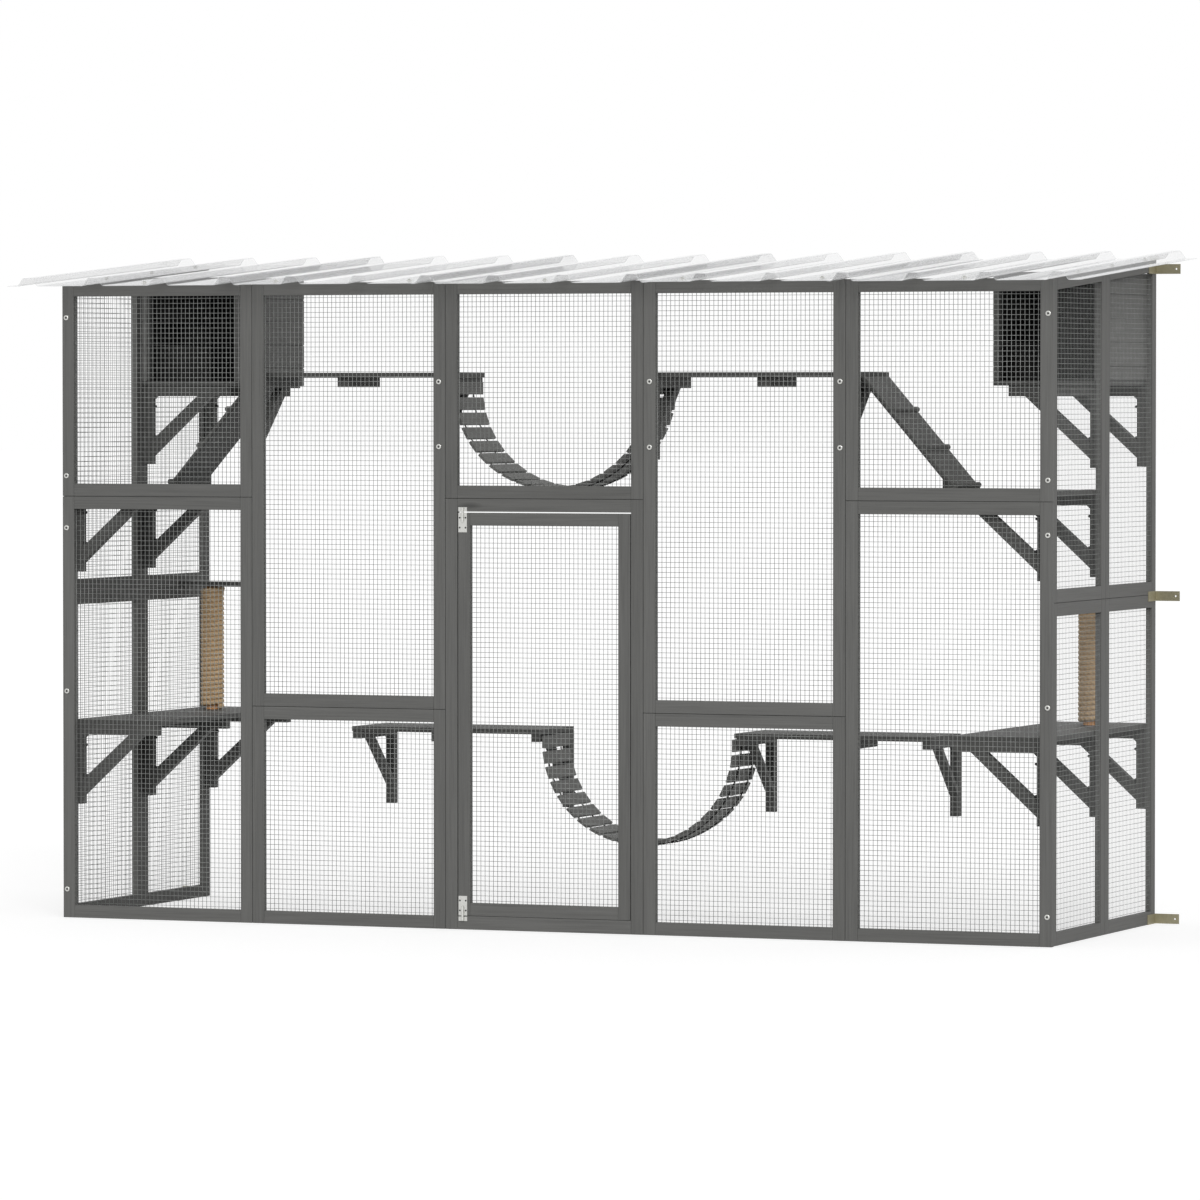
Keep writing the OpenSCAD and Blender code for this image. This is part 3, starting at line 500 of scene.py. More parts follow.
class Bench:
    """Where the pieces of one node are made and gathered into a mesh.

    Each piece keeps its own run of grain and its own tone. dark is how much
    painted shade darkens it, or gives that for a place.
    """

    def __init__(self, name, side=1, shift=0, dark=0.0):
        self.name, self.side, self.shift, self.dark = name, side, shift, dark
        self.rng = random.Random(name)
        self.verts, self.faces, self.smooth = [], [], []
        self.grain, self.tone, self.painted_shade = [], [], []

    def lay(self, verts, faces, grain=None, tone=None, smooth=False):
        """Adds a piece; one of metal or clear sheet has no grain and tone."""
        first = len(self.verts)
        self.verts.extend(verts)
        self.faces.extend(tuple(first + i for i in face) for face in faces)
        self.grain.extend(grain or [tuple(v) for v in verts])
        self.tone.extend(tone or [0.0] * len(verts))
        self.painted_shade.extend(self.dark(v) if callable(self.dark) else self.dark for v in verts)
        self.smooth.extend([smooth] * len(faces))

    def saw(self, outline, axis, span, along=None, ease=0.001, cut_for_painted_shade=None):
        """A straight piece: an outline seen along an axis, between two ends, its edges eased.

        along is the way of its grain, or else its longest way is. The last argument is
        the distance back from the front face at which the piece is cut, so that its
        painted shade can deepen from the front up to there.
        """
        first, second = (i for i in range(3) if i != axis)
        sizes = [abs(span[1] - span[0])] * 3
        for i, values in zip((first, second), zip(*outline)):
            sizes[i] = max(values) - min(values)
        bm = bmesh.new()
        rings = []
        for end in span:
            ring = []
            for a, b in outline:
                place = [end, end, end]
                place[first], place[second] = a, b
                x, y, z = place
                ring.append(bm.verts.new(at(self.side * x + self.shift, y, z)))
            rings.append(ring)
        near, far = rings
        bm.faces.new(near)
        bm.faces.new(far)
        for i in range(len(outline)):
            bm.faces.new((near[i], near[i - 1], far[i - 1], far[i]))
        bmesh.ops.recalc_face_normals(bm, faces=bm.faces[:])
        if ease:
            bmesh.ops.bevel(bm, geom=bm.edges[:], offset=ease, segments=2, profile=0.5,
                            affect="EDGES", clamp_overlap=True)
        if cut_for_painted_shade:
            bmesh.ops.bisect_plane(bm, geom=bm.verts[:] + bm.edges[:] + bm.faces[:],
                                   plane_co=at(0, cut_for_painted_shade, 0), plane_no=(0, 1, 0))
        run = unit(sizes.index(max(sizes)))
        if along:
            run = Vector((self.side * along[0], along[1], along[2])).normalized()
        flat = unit(axis)
        if abs(run.dot(flat)) > 0.9:
            flat = unit(first)
        ways = (run, run.cross(flat).normalized(), flat)
        shift = [self.rng.uniform(0, 20) for _ in ways]
        tone = self.rng.uniform(-1, 1)
        bm.verts.index_update()
        verts = [v.co.copy() for v in bm.verts]
        faces = [[v.index for v in f.verts] for f in bm.faces]
        bm.free()
        if cut_for_painted_shade:
            # The cut leaves the faces in an order that changes from run to run
            faces = sorted(from_lowest(face) for face in faces)
        grain = [tuple(v.dot(way) + s for way, s in zip(ways, shift)) for v in verts]
        self.lay(verts, faces, grain, [tone] * len(verts))

    def plank(self, xs, ys, zs, **options):
        """A piece with square ends."""
        self.saw([(xs[0], ys[0]), (xs[1], ys[0]), (xs[1], ys[1]), (xs[0], ys[1])], 2, zs, **options)

    def wire(self, start, end, wide, thin, square, sides=6):
        """A straight rolled wire between two places; square is the way through the net."""
        a, b = (at(self.side * x, y, z) for x, y, z in (start, end))
        u = Vector(square)
        w = (b - a).normalized().cross(u)
        ring = [(u * math.cos(t) * thin + w * math.sin(t) * wide) * MM
                for t in (2 * math.pi * (j + 0.5) / sides for j in range(sides))]
        self.lay([a + r for r in ring] + [b + r for r in ring], skin(2, sides), smooth=True)

    def turned(self, place, axis, profile, sides=20, star=None):
        """A turned head: a profile of (height, radius) along an axis from a place.

        star gives for each ring how deep a cross is pressed into it, from 0 to 1.
        """
        run = Vector(axis).normalized()
        u = run.orthogonal().normalized()
        w = run.cross(u)
        verts = []
        for k, (height, radius) in enumerate(profile):
            for j in range(sides):
                t = 2 * math.pi * j / sides
                pressed = 0.62 * star[k] if star and j % (sides // 4) else 0
                spoke = (u * math.cos(t) + w * math.sin(t)) * radius * (1 - pressed)
                verts.append(place + (run * height + spoke) * MM)
        self.lay(verts, skin(len(profile), sides))

    def twist(self, path, up, radius, lay_length, sides=12, pressed=1.0):
        """A three-strand rope along points in metres; up gives a way beside the path at each.

        pressed is how much wider than thick it lies across that way.
        """
        verts, grain, tone = [], [], []
        gone = 0.0
        last = len(path) - 1
        for i, place in enumerate(path):
            run = (path[min(i + 1, last)] - path[max(i - 1, 0)]).normalized()
            u = (up[i] - run * up[i].dot(run)).normalized()
            w = run.cross(u)
            if i:
                gone += (place - path[i - 1]).length
            turn = 2 * math.pi * gone / lay_length
            for j in range(sides):
                t = 2 * math.pi * j / sides
                hollow = 1 - abs(math.cos(1.5 * t)) ** 0.55
                r = radius * (1 - 0.24 * hollow)
                verts.append(place + (u * math.cos(t + turn) + w * math.sin(t + turn) * pressed) * r)
                grain.append((gone, r * math.cos(t), r * math.sin(t)))
                # Painted shade: the grooves' depth is kept as tone, which darkens them
                tone.append(hollow)
        self.lay(verts, skin(len(path), sides), grain, tone, True)

    def carry_out(self, finish, slot, body, *nodes):
        """The finished piece, riding on its body in the place of those nodes."""
        mesh = bpy.data.meshes.new(self.name)
        mesh.from_pydata(self.verts, [], self.faces)
        mesh.validate()
        mesh.attributes.new("grain", "FLOAT_VECTOR", "POINT").data.foreach_set(
            "vector", [c for g in self.grain for c in g])
        for word, numbers in (("tone", self.tone), ("painted_shade", self.painted_shade)):
            mesh.attributes.new(word, "FLOAT", "POINT").data.foreach_set("value", numbers)
        if len(mesh.polygons) == len(self.smooth):
            mesh.polygons.foreach_set("use_smooth", self.smooth)
        bm = bmesh.new()
        bm.from_mesh(mesh)
        bmesh.ops.recalc_face_normals(bm, faces=bm.faces[:])
        bm.to_mesh(mesh)
        bm.free()
        mesh.materials.append(finish)
        piece = bpy.data.objects.new(self.name, mesh)
        bpy.context.scene.collection.objects.link(piece)
        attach(piece, body)
        if nodes:
            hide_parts(*nodes)


def dress(name, finish):
    """Gives a CAD node its finish."""
    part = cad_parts[name]
    part.data.materials.clear()
    part.data.materials.append(finish)


def wood_screw(bench, place, out, radius, height):
    """A domed screw head with a cross pressed into it."""
    bench.turned(place, out, [
        (0.0, radius), (height * 0.35, radius), (height * 0.72, radius * 0.86),
        (height * 0.93, radius * 0.62), (height, radius * 0.52), (height, radius * 0.5),
        (height * 0.55, radius * 0.42)], star=(0, 0, 0, 0, 0.2, 1, 1))


# ------------------------------------------------------------- operators


class TimberWork:
    """What the operators for timber share."""

    def timber(self, context):
        """The paint, and how far edges are eased."""
        values = context.scene.cat_enclosure.timber
        # The amount of painted shade for the pieces inside the enclosure
        self.inner = values.inner
        return painted_timber(values), values.ease

    def inner_face(self, place):
        """Painted shade on the walls' inner faces, about as deep as on what stands inside."""
        return self.inner * 1.3 if abs(place.x) < (SIDE_IN + 0.5) * MM else 0.0


class ENCLOSURE_OT_panels(TimberWork, Operator):
    """Builds the framed panels of the front and side walls and the door"""

    bl_idname = "enclosure.panels"
    bl_label = "Panels and Door"

    def execute(self, context):
        finish, ease = self.timber(context)
        rows = [
            (HIGH_SEAM, "front_end_left_lower", "front_end_left_upper"),
            (LOW_SEAM, "front_mid_left_lower", "front_mid_left_upper"),
            (HIGH_SEAM, "door_frame", "front_over_door"),
            (LOW_SEAM, "front_mid_right_lower", "front_mid_right_upper"),
            (HIGH_SEAM, "front_end_right_lower", "front_end_right_upper"),
        ]
        for bay, (seam, lower, upper) in enumerate(rows):
            x0, x1 = (bay - 2.5) * BAY, (bay - 1.5) * BAY
            left, right = (SEAM if bay > 0 else 0), (SEAM if bay < 4 else 0)
            for name, z0, z1 in ((lower, 0, seam - SEAM), (upper, seam + SEAM, FRONT_H)):
                bench = Bench(name + "_timber")
                sill = DOOR_SILL if name == "door_frame" else 0
                self.front_panel(bench, x0 + left, x1 - right, z0, z1, ease, sill)
                if name == lower:
                    bench.plank((x0 + 2, x1 - 2), (5, BAR_T - 1), (seam - SEAM, seam + SEAM),
                                ease=None)
                bench.carry_out(finish, "timber", "frame", name)
        for word, side in sides():
            for part, y0, y1 in (("front", BAR_T, SIDE_JOINT - SEAM),
                                 ("back", SIDE_JOINT + SEAM, DEPTH)):
                for level in ("lower", "upper"):
                    name = f"{word}_wall_{part}_{level}"
                    # Painted shade on the side walls' inner faces
                    bench = Bench(name + "_timber", side, dark=self.inner_face)
                    self.side_panel(bench, y0, y1, level == "upper", ease)
                    bench.carry_out(finish, "timber", "frame", name)
        bench = Bench("door_leaf_timber")
        self.front_panel(bench, *DOOR, ease)
        bench.carry_out(finish, "timber", "door", "door_leaf")
        return {"FINISHED"}

    def front_panel(self, bench, x0, x1, z0, z1, ease, sill=0):
        """Two stiles with two rails between them."""
        inner = x0 + BAR, x1 - BAR
        for xs in ((x0, inner[0]), (inner[1], x1)):
            bench.plank(xs, (0, BAR_T), (z0, z1), ease=ease)
        for zs in ((z0, z0 + BAR + sill), (z1 - BAR, z1)):
            bench.plank((inner[0] + JOINT, inner[1] - JOINT), (0, BAR_T), zs, ease=ease)

    def side_panel(self, bench, y0, y1, upper, ease):
        """Two stiles and two rails, the top rail of an upper panel along the roof."""
        z0 = SIDE_SEAM + SEAM if upper else 0

        def top(y):
            return roof_z(y) if upper else SIDE_SEAM - SEAM

        if not upper:
            bench.plank((SIDE_IN + 1, SIDE_OUT - 5), (y0 + 2, y1 - 2),
                        (SIDE_SEAM - SEAM, SIDE_SEAM + SEAM), ease=None)
        ya, yb = y0 + BAR + JOINT, y1 - BAR - JOINT
        bars = [([(y, z0), (y + BAR, z0), (y + BAR, top(y + BAR)), (y, top(y))], (0, 0, 1))
                for y in (y0, y1 - BAR)]
        bars += [
            ([(ya, z0), (yb, z0), (yb, z0 + BAR), (ya, z0 + BAR)], (0, 1, 0)),
            ([(ya, top(ya) - BAR), (yb, top(yb) - BAR), (yb, top(yb)), (ya, top(ya))],
             (0, yb - ya, top(yb) - top(ya))),
        ]
        for outline, along in bars:
            bench.saw(outline, 0, (SIDE_IN, SIDE_OUT), along=along, ease=ease)


class ENCLOSURE_OT_boards(TimberWork, Operator):
    """Builds the platforms, walkways, cat house floors and the narrow shelves"""

    bl_idname = "enclosure.boards"
    bl_label = "Boards"

    FRONT_Y, MID_BACK_Y = 21, 521
    LOWER_REACH, MID_REACH = 278, 330
    SHELF = ((1240, SIDE_IN), (738, 808), (938, 952))
    WALKWAY_X, WALKWAY_D = 300, 250
    BATTEN_XS, BATTEN_IN, BATTEN_H = (620, 656), 15, 27

    def execute(self, context):
        finish, ease = self.timber(context)
        platforms = [
            ("lower_platform", SIDE_IN - self.LOWER_REACH, BACK_Y, LOWER_Z),
            ("mid_platform", SIDE_IN - self.MID_REACH, self.MID_BACK_Y, MID_Z),
        ]
        for word, side in sides():
            for name, x0, y1, z in platforms:
                # Painted shade: the boards inside are darker than the frame
                bench = Bench(f"{word}_{name}_board", side, dark=self.inner * 1.4)
                bench.plank((x0, SIDE_IN), (self.FRONT_Y, y1), (z - BOARD_T, z), ease=ease)
                bench.carry_out(finish, "timber", "frame", f"{word}_{name}")
        house_floor = ((HOUSE_X, SIDE_IN), (SIDE_JOINT, BACK_Y), (HOUSE_Z - BOARD_T, HOUSE_Z))
        # Shift to the right, and the planks of one side
        pairs = [
            ("cat_house_floors", 0, [house_floor]),
            ("post_shelves", 0, [self.SHELF]),
            ("upper_walkways", 0, self.walkway(925, 38, UPPER_WALK_Z)),
            ("lower_walkways", LOWER_SHIFT, self.walkway(904, 680, LOWER_WALK_Z)),
        ]
        for name, shift, planks in pairs:
            # Painted shade: the boards inside are darker than the frame
            bench = Bench(name + "_board", shift=shift, dark=self.inner * 1.4)
            for _, side in sides():
                bench.side = side
                for xs, ys, zs in planks:
                    bench.plank(xs, ys, zs, ease=ease)
            bench.carry_out(finish, "timber", "frame", name)
        return {"FINISHED"}

    def walkway(self, end, y0, z):
        """A board from its outer end and front edge, and the batten under its middle."""
        under, y1 = z - BOARD_T, y0 + self.WALKWAY_D
        return [((self.WALKWAY_X, end), (y0, y1), (under, z)),
                (self.BATTEN_XS, (y0 + self.BATTEN_IN, y1 - self.BATTEN_IN),
                 (under - self.BATTEN_H, under))]


class ENCLOSURE_OT_brackets(TimberWork, Operator):
    """Builds the timber brackets and the screws in their legs"""

    bl_idname = "enclosure.brackets"
    bl_label = "Brackets"

    SIDE_ROWS = (36, 502, 932)
    UPPER_X, LOWER_X = 891, 887
    LEG, LENGTH, HALF = 30, 270, 13
    BLOCK = 9
    FIRST_SCREW, SCREW_H = 60, 9

    def execute(self, context):
        finish, ease = self.timber(context)
        values = context.scene.cat_enclosure
        screws = Bench("bracket_screw_heads")
        thick, thin = values.brackets.brace_end / MM, values.brackets.thin_brace_end / MM
        # Height, depth of the arm, reach, drop and cut of the brace, distance between the screws
        on_side = (230, 30, 221, 205, thick, 88)
        upper = (230, 30, 190, 178, thick, 52)
        lower = (225, 22, 187, 168, thin, 52)
        rows = [
            ("lower_platform", on_side, self.on_sides(LOWER_Z, (0, 1, 2))),
            ("mid_platform", on_side, self.on_sides(MID_Z, (0, 1))),
            ("cat_house", on_side, self.on_sides(HOUSE_Z, (1, 2))),
            ("upper_walkway", upper, self.on_walls(self.UPPER_X, 0, BAR_T, UPPER_WALK_Z, 1)),
            ("lower_walkway", lower,
             self.on_walls(self.LOWER_X, LOWER_SHIFT, DEPTH, LOWER_WALK_Z, -1)),
        ]
        for name, sizes, places in rows:
            # Painted shade: the brackets are darker than the frame
            bench = Bench(name + "_brackets_timber", dark=self.inner * 1.2)
            for place in places:
                self.bracket(bench, screws, values.brackets, ease, sizes, *place)
            bench.carry_out(finish, "timber", "frame", name + "_brackets")
        screws.carry_out(dark_steel(values.hardware), "screws", "frame", "bracket_screws")
        return {"FINISHED"}

    def on_sides(self, z, rows):
        """Each bracket's back corner, the axis that it reaches along, and which way."""
        return [((side * SIDE_IN, self.SIDE_ROWS[row], z - BOARD_T), 0, -side)
                for _, side in sides() for row in rows]

    def on_walls(self, outer, shift, y, z, way):
        """The same for the brackets under the walkways."""
        return [((side * x + shift, y, z - BOARD_T), 1, way)
                for _, side in sides() for x in (INNER_BRACKET_X, outer)]

    def bracket(self, bench, screws, values, ease, sizes, corner, axis, way):
        """A leg on the wall, an arm under the board, a brace, and a block in the corner."""
        start, middle = corner[axis], corner[1 - axis]
        top = corner[2]
        height, arm, reach, drop, cut, pitch = sizes
        leg, end, block = self.LEG, self.LENGTH, self.BLOCK
        shapes = [
            ([(0, -height), (leg, -height), (leg, 0), (0, 0)], None),
            ([(leg, -arm), (end, -arm), (end, 0), (leg, 0)], None),
            ([(leg, -drop), (reach, -arm), (reach - cut, -arm), (leg, cut - drop)],
             (reach - leg, drop - arm)),
            ([(leg, -arm - block), (leg, -arm), (leg + block, -arm)], (1, 1)),
        ]
        for outline, along in shapes:
            placed = [(start + way * r, top + h) for r, h in outline]
            run = None
            if along:
                run = [0, 0, along[1]]
                run[axis] = way * along[0]
            bench.saw(placed, 1 - axis, (middle - self.HALF, middle + self.HALF), along=run,
                      ease=ease)
        out, place = [0, 0, 0], [0, 0, 0]
        out[axis], place[axis], place[1 - axis] = way, start + way * leg, middle
        for low in (self.FIRST_SCREW, self.FIRST_SCREW + pitch):
            place[2] = top - low
            wood_screw(screws, at(*place), out, values.screw_head / MM / 2, self.SCREW_H)


class ENCLOSURE_OT_houses(TimberWork, Operator):
    """Builds the cat houses: sided walls, back and top"""

    bl_idname = "enclosure.houses"
    bl_label = "Cat Houses"

    GROOVE = 2.2
    JOINED_COURSE, JOINED_Y = 2, 714  # the course of two boards, and where they meet
    MOUTH = 50  # how far in from the front the painted shade on the side walls deepens

    def execute(self, context):
        finish, ease = self.timber(context)
        values = context.scene.cat_enclosure.houses
        top = HOUSE_Z + HOUSE_H
        for word, side in sides():
            bench = Bench(f"{word}_cat_house_boards", side, dark=self.hollow)
            for x0 in (HOUSE_X, SIDE_IN - HOUSE_T):
                self.sided_wall(bench, values, x0, ease)
            for zs in self.courses(values):
                bench.plank((HOUSE_X + HOUSE_T, SIDE_IN - HOUSE_T), (BACK_Y - HOUSE_T, BACK_Y), zs,
                            ease=ease)
            bench.plank((HOUSE_X, SIDE_IN), (SIDE_JOINT, BACK_Y), (top, top + BOARD_T), ease=ease)
            bench.carry_out(finish, "timber", "frame", f"{word}_cat_house")
        return {"FINISHED"}

    def hollow(self, place):
        """Deep painted shade inside the house, the inner painted shade on its wall towards the middle,
        and painted light on its outer wall.
        """
        x, y, z = abs(place.x) / MM, (place.y - FACE_Y) / MM, place.z / MM
        inside = (HOUSE_X + HOUSE_T - 0.5 < x < SIDE_IN - HOUSE_T + 0.5
                  and SIDE_JOINT + 2 < y < BACK_Y - HOUSE_T + 0.5 and z < HOUSE_Z + HOUSE_H + 0.5)
        if inside:
            return 0.99
        # Painted light: the outer wall's paint is made a little lighter, as if lit more
        return self.inner if x < 1200 else -0.12

    def courses(self, values):
        """Lowest and highest edge of each siding board."""
        z, top = HOUSE_Z + values.first / MM, HOUSE_Z + HOUSE_H
        edges = [HOUSE_Z]
        while z < top - 10:
            edges.append(z)
            z += values.course / MM
        return list(zip(edges, edges[1:] + [top]))

    def sided_wall(self, bench, values, x0, ease):
        """Siding boards with a groove where two meet, one of them joined end to end."""
        x1, g = x0 + HOUSE_T, self.GROOVE
        for k, (z0, z1) in enumerate(self.courses(values)):
            outline = [(x0, z0 + g), (x0 + g, z0), (x1 - g, z0), (x1, z0 + g),
                       (x1, z1 - g), (x1 - g, z1), (x0 + g, z1), (x0, z1 - g)]
            ys = [SIDE_JOINT, BACK_Y]
            if k == self.JOINED_COURSE:
                ys.insert(1, self.JOINED_Y)
            for span in zip(ys, ys[1:]):
                bench.saw(outline, 1, span, ease=ease * 0.6, cut_for_painted_shade=SIDE_JOINT + self.MOUTH)


class ENCLOSURE_OT_ramps(TimberWork, Operator):
    """Builds the ramps with their rungs"""

    bl_idname = "enclosure.ramps"
    bl_label = "Ramps"

    YS = (74, 279)
    TOP_X, RUN = 930.4, 273
    THICK, FOOT = 17.6, 46.4  # measured level: the board, and the flat that it stands on
    FIRST_RUNG, RUNG_R, RUNG_BASE = 14, 8, 2

    def execute(self, context):
        finish, ease = self.timber(context)
        values = context.scene.cat_enclosure.ramps
        top_z, foot_x = UPPER_WALK_Z - BOARD_T, self.TOP_X + self.RUN
        slope = (top_z - MID_Z) / self.RUN
        heel_x = foot_x - self.FOOT
        board = [(self.TOP_X - self.THICK, top_z), (self.TOP_X, top_z), (foot_x, MID_Z),
                 (heel_x, MID_Z), (heel_x, MID_Z + (self.FOOT - self.THICK) * slope)]
        lean = math.atan(slope)
        r = self.RUNG_R
        shape = [(-r, 0), (r, 0)] + [(r * math.cos(t), self.RUNG_BASE + r * math.sin(t))
                                     for t in (math.pi * k / 10 for k in range(11))]

        def underside(place):
            """Painted shade: the board's back is painted darker than its top."""
            surface = MID_Z + (foot_x - abs(place.x) / MM) * slope
            return self.inner * (2.3 if place.z / MM < surface - 4 else 1)

        for word, side in sides():
            bench = Bench(f"{word}_ramp_board", side, dark=underside)
            bench.saw(board, 1, self.YS, along=(self.RUN, 0, MID_Z - top_z), ease=ease)
            for i in range(values.rungs):
                z = MID_Z + self.FIRST_RUNG + i * values.rise / MM
                rung = turned_by(lean, foot_x - (z - MID_Z) / slope, z, shape)
                bench.saw(rung, 1, self.YS, ease=None)
            bench.carry_out(finish, "timber", "frame", f"{word}_ramp")
        return {"FINISHED"}


def turned_by(lean, x, z, shape):
    """A shape that leans by an angle, with its origin at a place."""
    s, c = math.sin(lean), math.cos(lean)
    return [(x + u * c + w * s, z - u * s + w * c) for u, w in shape]


class ENCLOSURE_OT_netting(Operator):
    """Weaves the netting in every panel and in the door"""

    bl_idname = "enclosure.netting"
    bl_label = "Netting"

    INSET = 3  # how far behind the timber's face the netting lies

    def execute(self, context):
        values = context.scene.cat_enclosure.netting
        finish = galvanised_wire(values)
        self.across, self.rise = values.mesh_width / MM, values.mesh_height / MM
        self.upright, self.level = values.wire / MM / 2, values.cross_wire / MM / 2
        self.thin, self.level_thin = self.upright * values.rolled, self.level * values.rolled
        front = Bench("front_wire_netting")
        for bay in range(5):
            seam = HIGH_SEAM if bay % 2 == 0 else LOW_SEAM
            x0 = (bay - 2.5) * BAY + BAR
            x1 = x0 + BAY - 2 * BAR
            if bay != 2:
                self.front_net(front, x0, x1, BAR, seam - BAR)
            self.front_net(front, x0, x1, seam + BAR, FRONT_H - BAR)
        front.carry_out(finish, "netting", "frame", "front_netting")
        door = Bench("door_wire_netting")
        x0, x1, z0, z1 = DOOR
        self.front_net(door, x0 + BAR, x1 - BAR, z0 + BAR, z1 - BAR)
        door.carry_out(finish, "netting", "door", "door_netting")
        for word, side in sides():
            bench = Bench(f"{word}_wall_wire_netting", side)
            for y0, y1 in ((BAR_T, SIDE_JOINT), (SIDE_JOINT, DEPTH)):
                for upper in (False, True):
                    self.side_net(bench, y0 + BAR, y1 - BAR, upper)
            bench.carry_out(finish, "netting", "frame", f"{word}_wall_netting")
        return {"FINISHED"}

    def steps(self, start, end, pitch):
        """Where the wires of one panel stand, half a mesh in from each edge."""
        count = max(1, round((end - start) / pitch))
        return [start + (i + 0.5) * (end - start) / count for i in range(count)]

    def front_net(self, bench, x0, x1, z0, z1):
        """Upright wires, and level ones behind them that just touch."""
        near, far = self.INSET + self.thin, self.INSET - 0.1 + 2 * self.thin + self.level_thin
        for x in self.steps(x0, x1, self.across):
            bench.wire((x, near, z0), (x, near, z1), self.upright, self.thin, (0, 1, 0))
        for z in self.steps(z0, z1, self.rise):
            bench.wire((x0, far, z), (x1, far, z), self.level, self.level_thin, (0, 1, 0))

    def side_net(self, bench, y0, y1, upper):
        """The same on a side wall; in an upper panel the wires end along the roof."""
        near = SIDE_OUT - self.INSET - self.thin
        far = SIDE_OUT - self.INSET + 0.1 - 2 * self.thin - self.level_thin
        z0 = (SIDE_SEAM if upper else 0) + BAR

        def top(y):
            return (roof_z(y) if upper else SIDE_SEAM) - BAR

        for y in self.steps(y0, y1, self.across):
            bench.wire((near, y, z0), (near, y, top(y)), self.upright, self.thin, (1, 0, 0))
        for z in self.steps(z0, top(y1), self.rise):
            start = y0 if z < top(y0) else y0 + (z - top(y0)) / math.tan(SLOPE)
            if start < y1 - 5:
                bench.wire((far, start, z), (far, y1, z), self.level, self.level_thin, (1, 0, 0))


class ENCLOSURE_OT_roof(Operator):
    """Builds the clear ribbed roof sheets and their screws"""

    bl_idname = "enclosure.roof"
    bl_label = "Roof"

    RIB_PITCH, FIRST_RIB = 207, -7.5
    RIB_FOOT, RIB_CREST, RIB_H = 30, 14, 22  # half the foot, half the crest
    VERGE_EDGE, LAP_EDGE = 64.5, 44  # from the last rib's middle to the sheet's edge
    EAVES = 118
    SEAT, LAP_LIFT = 0.3, 1.5
    SPANS = 6
    FRONT_SCREW_V = 9
    SIDE_SCREW_X, SIDE_SCREWS = 1487, (0.28, 0.6, 0.92)

    def execute(self, context):
        values = context.scene.cat_enclosure
        finish = clear_sheet(values.roof)
        for k in range(5):
            bench = Bench(f"clear_sheet_{k + 1}")
            self.sheet(bench, values.roof, k)
            bench.carry_out(finish, "roof", "frame", f"roof_sheet_{k + 1}")
        screws = Bench("roof_screw_heads")
        spots = [(i * self.RIB_PITCH, self.FRONT_SCREW_V, self.lift((i - self.FIRST_RIB) // 3))
                 for i in range(-6, 7, 2)]
        spots += [(side * self.SIDE_SCREW_X, y * DEPTH, 0)
                  for _, side in sides() for y in self.SIDE_SCREWS]
        for spot in spots:
            self.roof_screw(screws, *spot)
        screws.carry_out(bright_zinc(values.hardware), "screws", "frame", "roof_screws")
        return {"FINISHED"}

    def on_roof(self, x, v, w):
        """A place on the slope: v up the slope, w square to it."""
        s, c = math.sin(SLOPE), math.cos(SLOPE)
        return at(x, v * c - w * s, FRONT_H + v * s + w * c)

    def lift(self, k):
        """Every second sheet lies over its neighbours."""
        return self.LAP_LIFT if k % 2 else 0.0

    def sheet(self, bench, values, k):
        """Four trapezoid ribs with rounded folds."""
        ribs = [(i + self.FIRST_RIB) * self.RIB_PITCH for i in range(3 * k, 3 * k + 4)]
        path = [(ribs[0] - (self.VERGE_EDGE if k == 0 else self.LAP_EDGE), 0)]
        for x in ribs:
            path += [(x - self.RIB_FOOT, 0), (x - self.RIB_CREST, self.RIB_H),
                     (x + self.RIB_CREST, self.RIB_H), (x + self.RIB_FOOT, 0)]
        path.append((ribs[-1] + (self.VERGE_EDGE if k == 4 else self.LAP_EDGE), 0))
        under = rounded(path, values.fillet / MM)
        thick = values.sheet / MM
        over = []
        for i, (x, w) in enumerate(under):
            a, b = under[max(i - 1, 0)], under[min(i + 1, len(under) - 1)]
            length = math.dist(a, b)
            over.append((x - (b[1] - a[1]) / length * thick, w + (b[0] - a[0]) / length * thick))
        loop = under + over[::-1]
        lift = self.SEAT + self.lift(k)
        start, run = -self.EAVES / math.cos(SLOPE), (DEPTH + self.EAVES) / math.cos(SLOPE)
        verts = [self.on_roof(x, start + step * run / self.SPANS, w + lift)
                 for step in range(self.SPANS + 1) for x, w in loop]
        size = len(loop)
        faces = [(r + i, r + size + i, r + size + (i + 1) % size, r + (i + 1) % size)
                 for r in range(0, self.SPANS * size, size) for i in range(size)]
        for end in (0, self.SPANS * size):
            faces += [(end + i, end + i + 1, end + size - 2 - i, end + size - 1 - i)
                      for i in range(len(under) - 1)]
        bench.lay(verts, faces)

    def roof_screw(self, bench, x, v, lift):
        """A washer with a hexagon head on a short shank."""
        out = (0, -math.sin(SLOPE), math.cos(SLOPE))
        z = 1.5 + lift
        washer = [(0, 8), (0.6, 8), (1.4, 7.2), (1.5, 5.6), (1.5, 3)]
        bench.turned(self.on_roof(x, v, z), out, washer, sides=24)
        bench.turned(self.on_roof(x, v, z + 1.5), out, [(0, 4.6), (3.4, 4.6), (4.0, 4.0)], sides=6)
        bench.turned(self.on_roof(x, v, z - 28), out, [(0, 0.6), (6, 2), (28.5, 2)], sides=12)


def rounded(path, radius, steps=4):
    """The same line with its corners rounded."""
    line = [path[0]]
    for a, b, c in zip(path, path[1:], path[2:]):
        corner = Vector(b)
        back, on = Vector((a[0] - b[0], a[1] - b[1])), Vector((c[0] - b[0], c[1] - b[1]))
        reach = min(radius, back.length * 0.45, on.length * 0.45)
        start, end = corner + back.normalized() * reach, corner + on.normalized() * reach
        for k in range(steps + 1):
            t = k / steps
            line.append(tuple(start * (1 - t) ** 2 + corner * 2 * t * (1 - t) + end * t * t))
    line.append(path[-1])
    return line


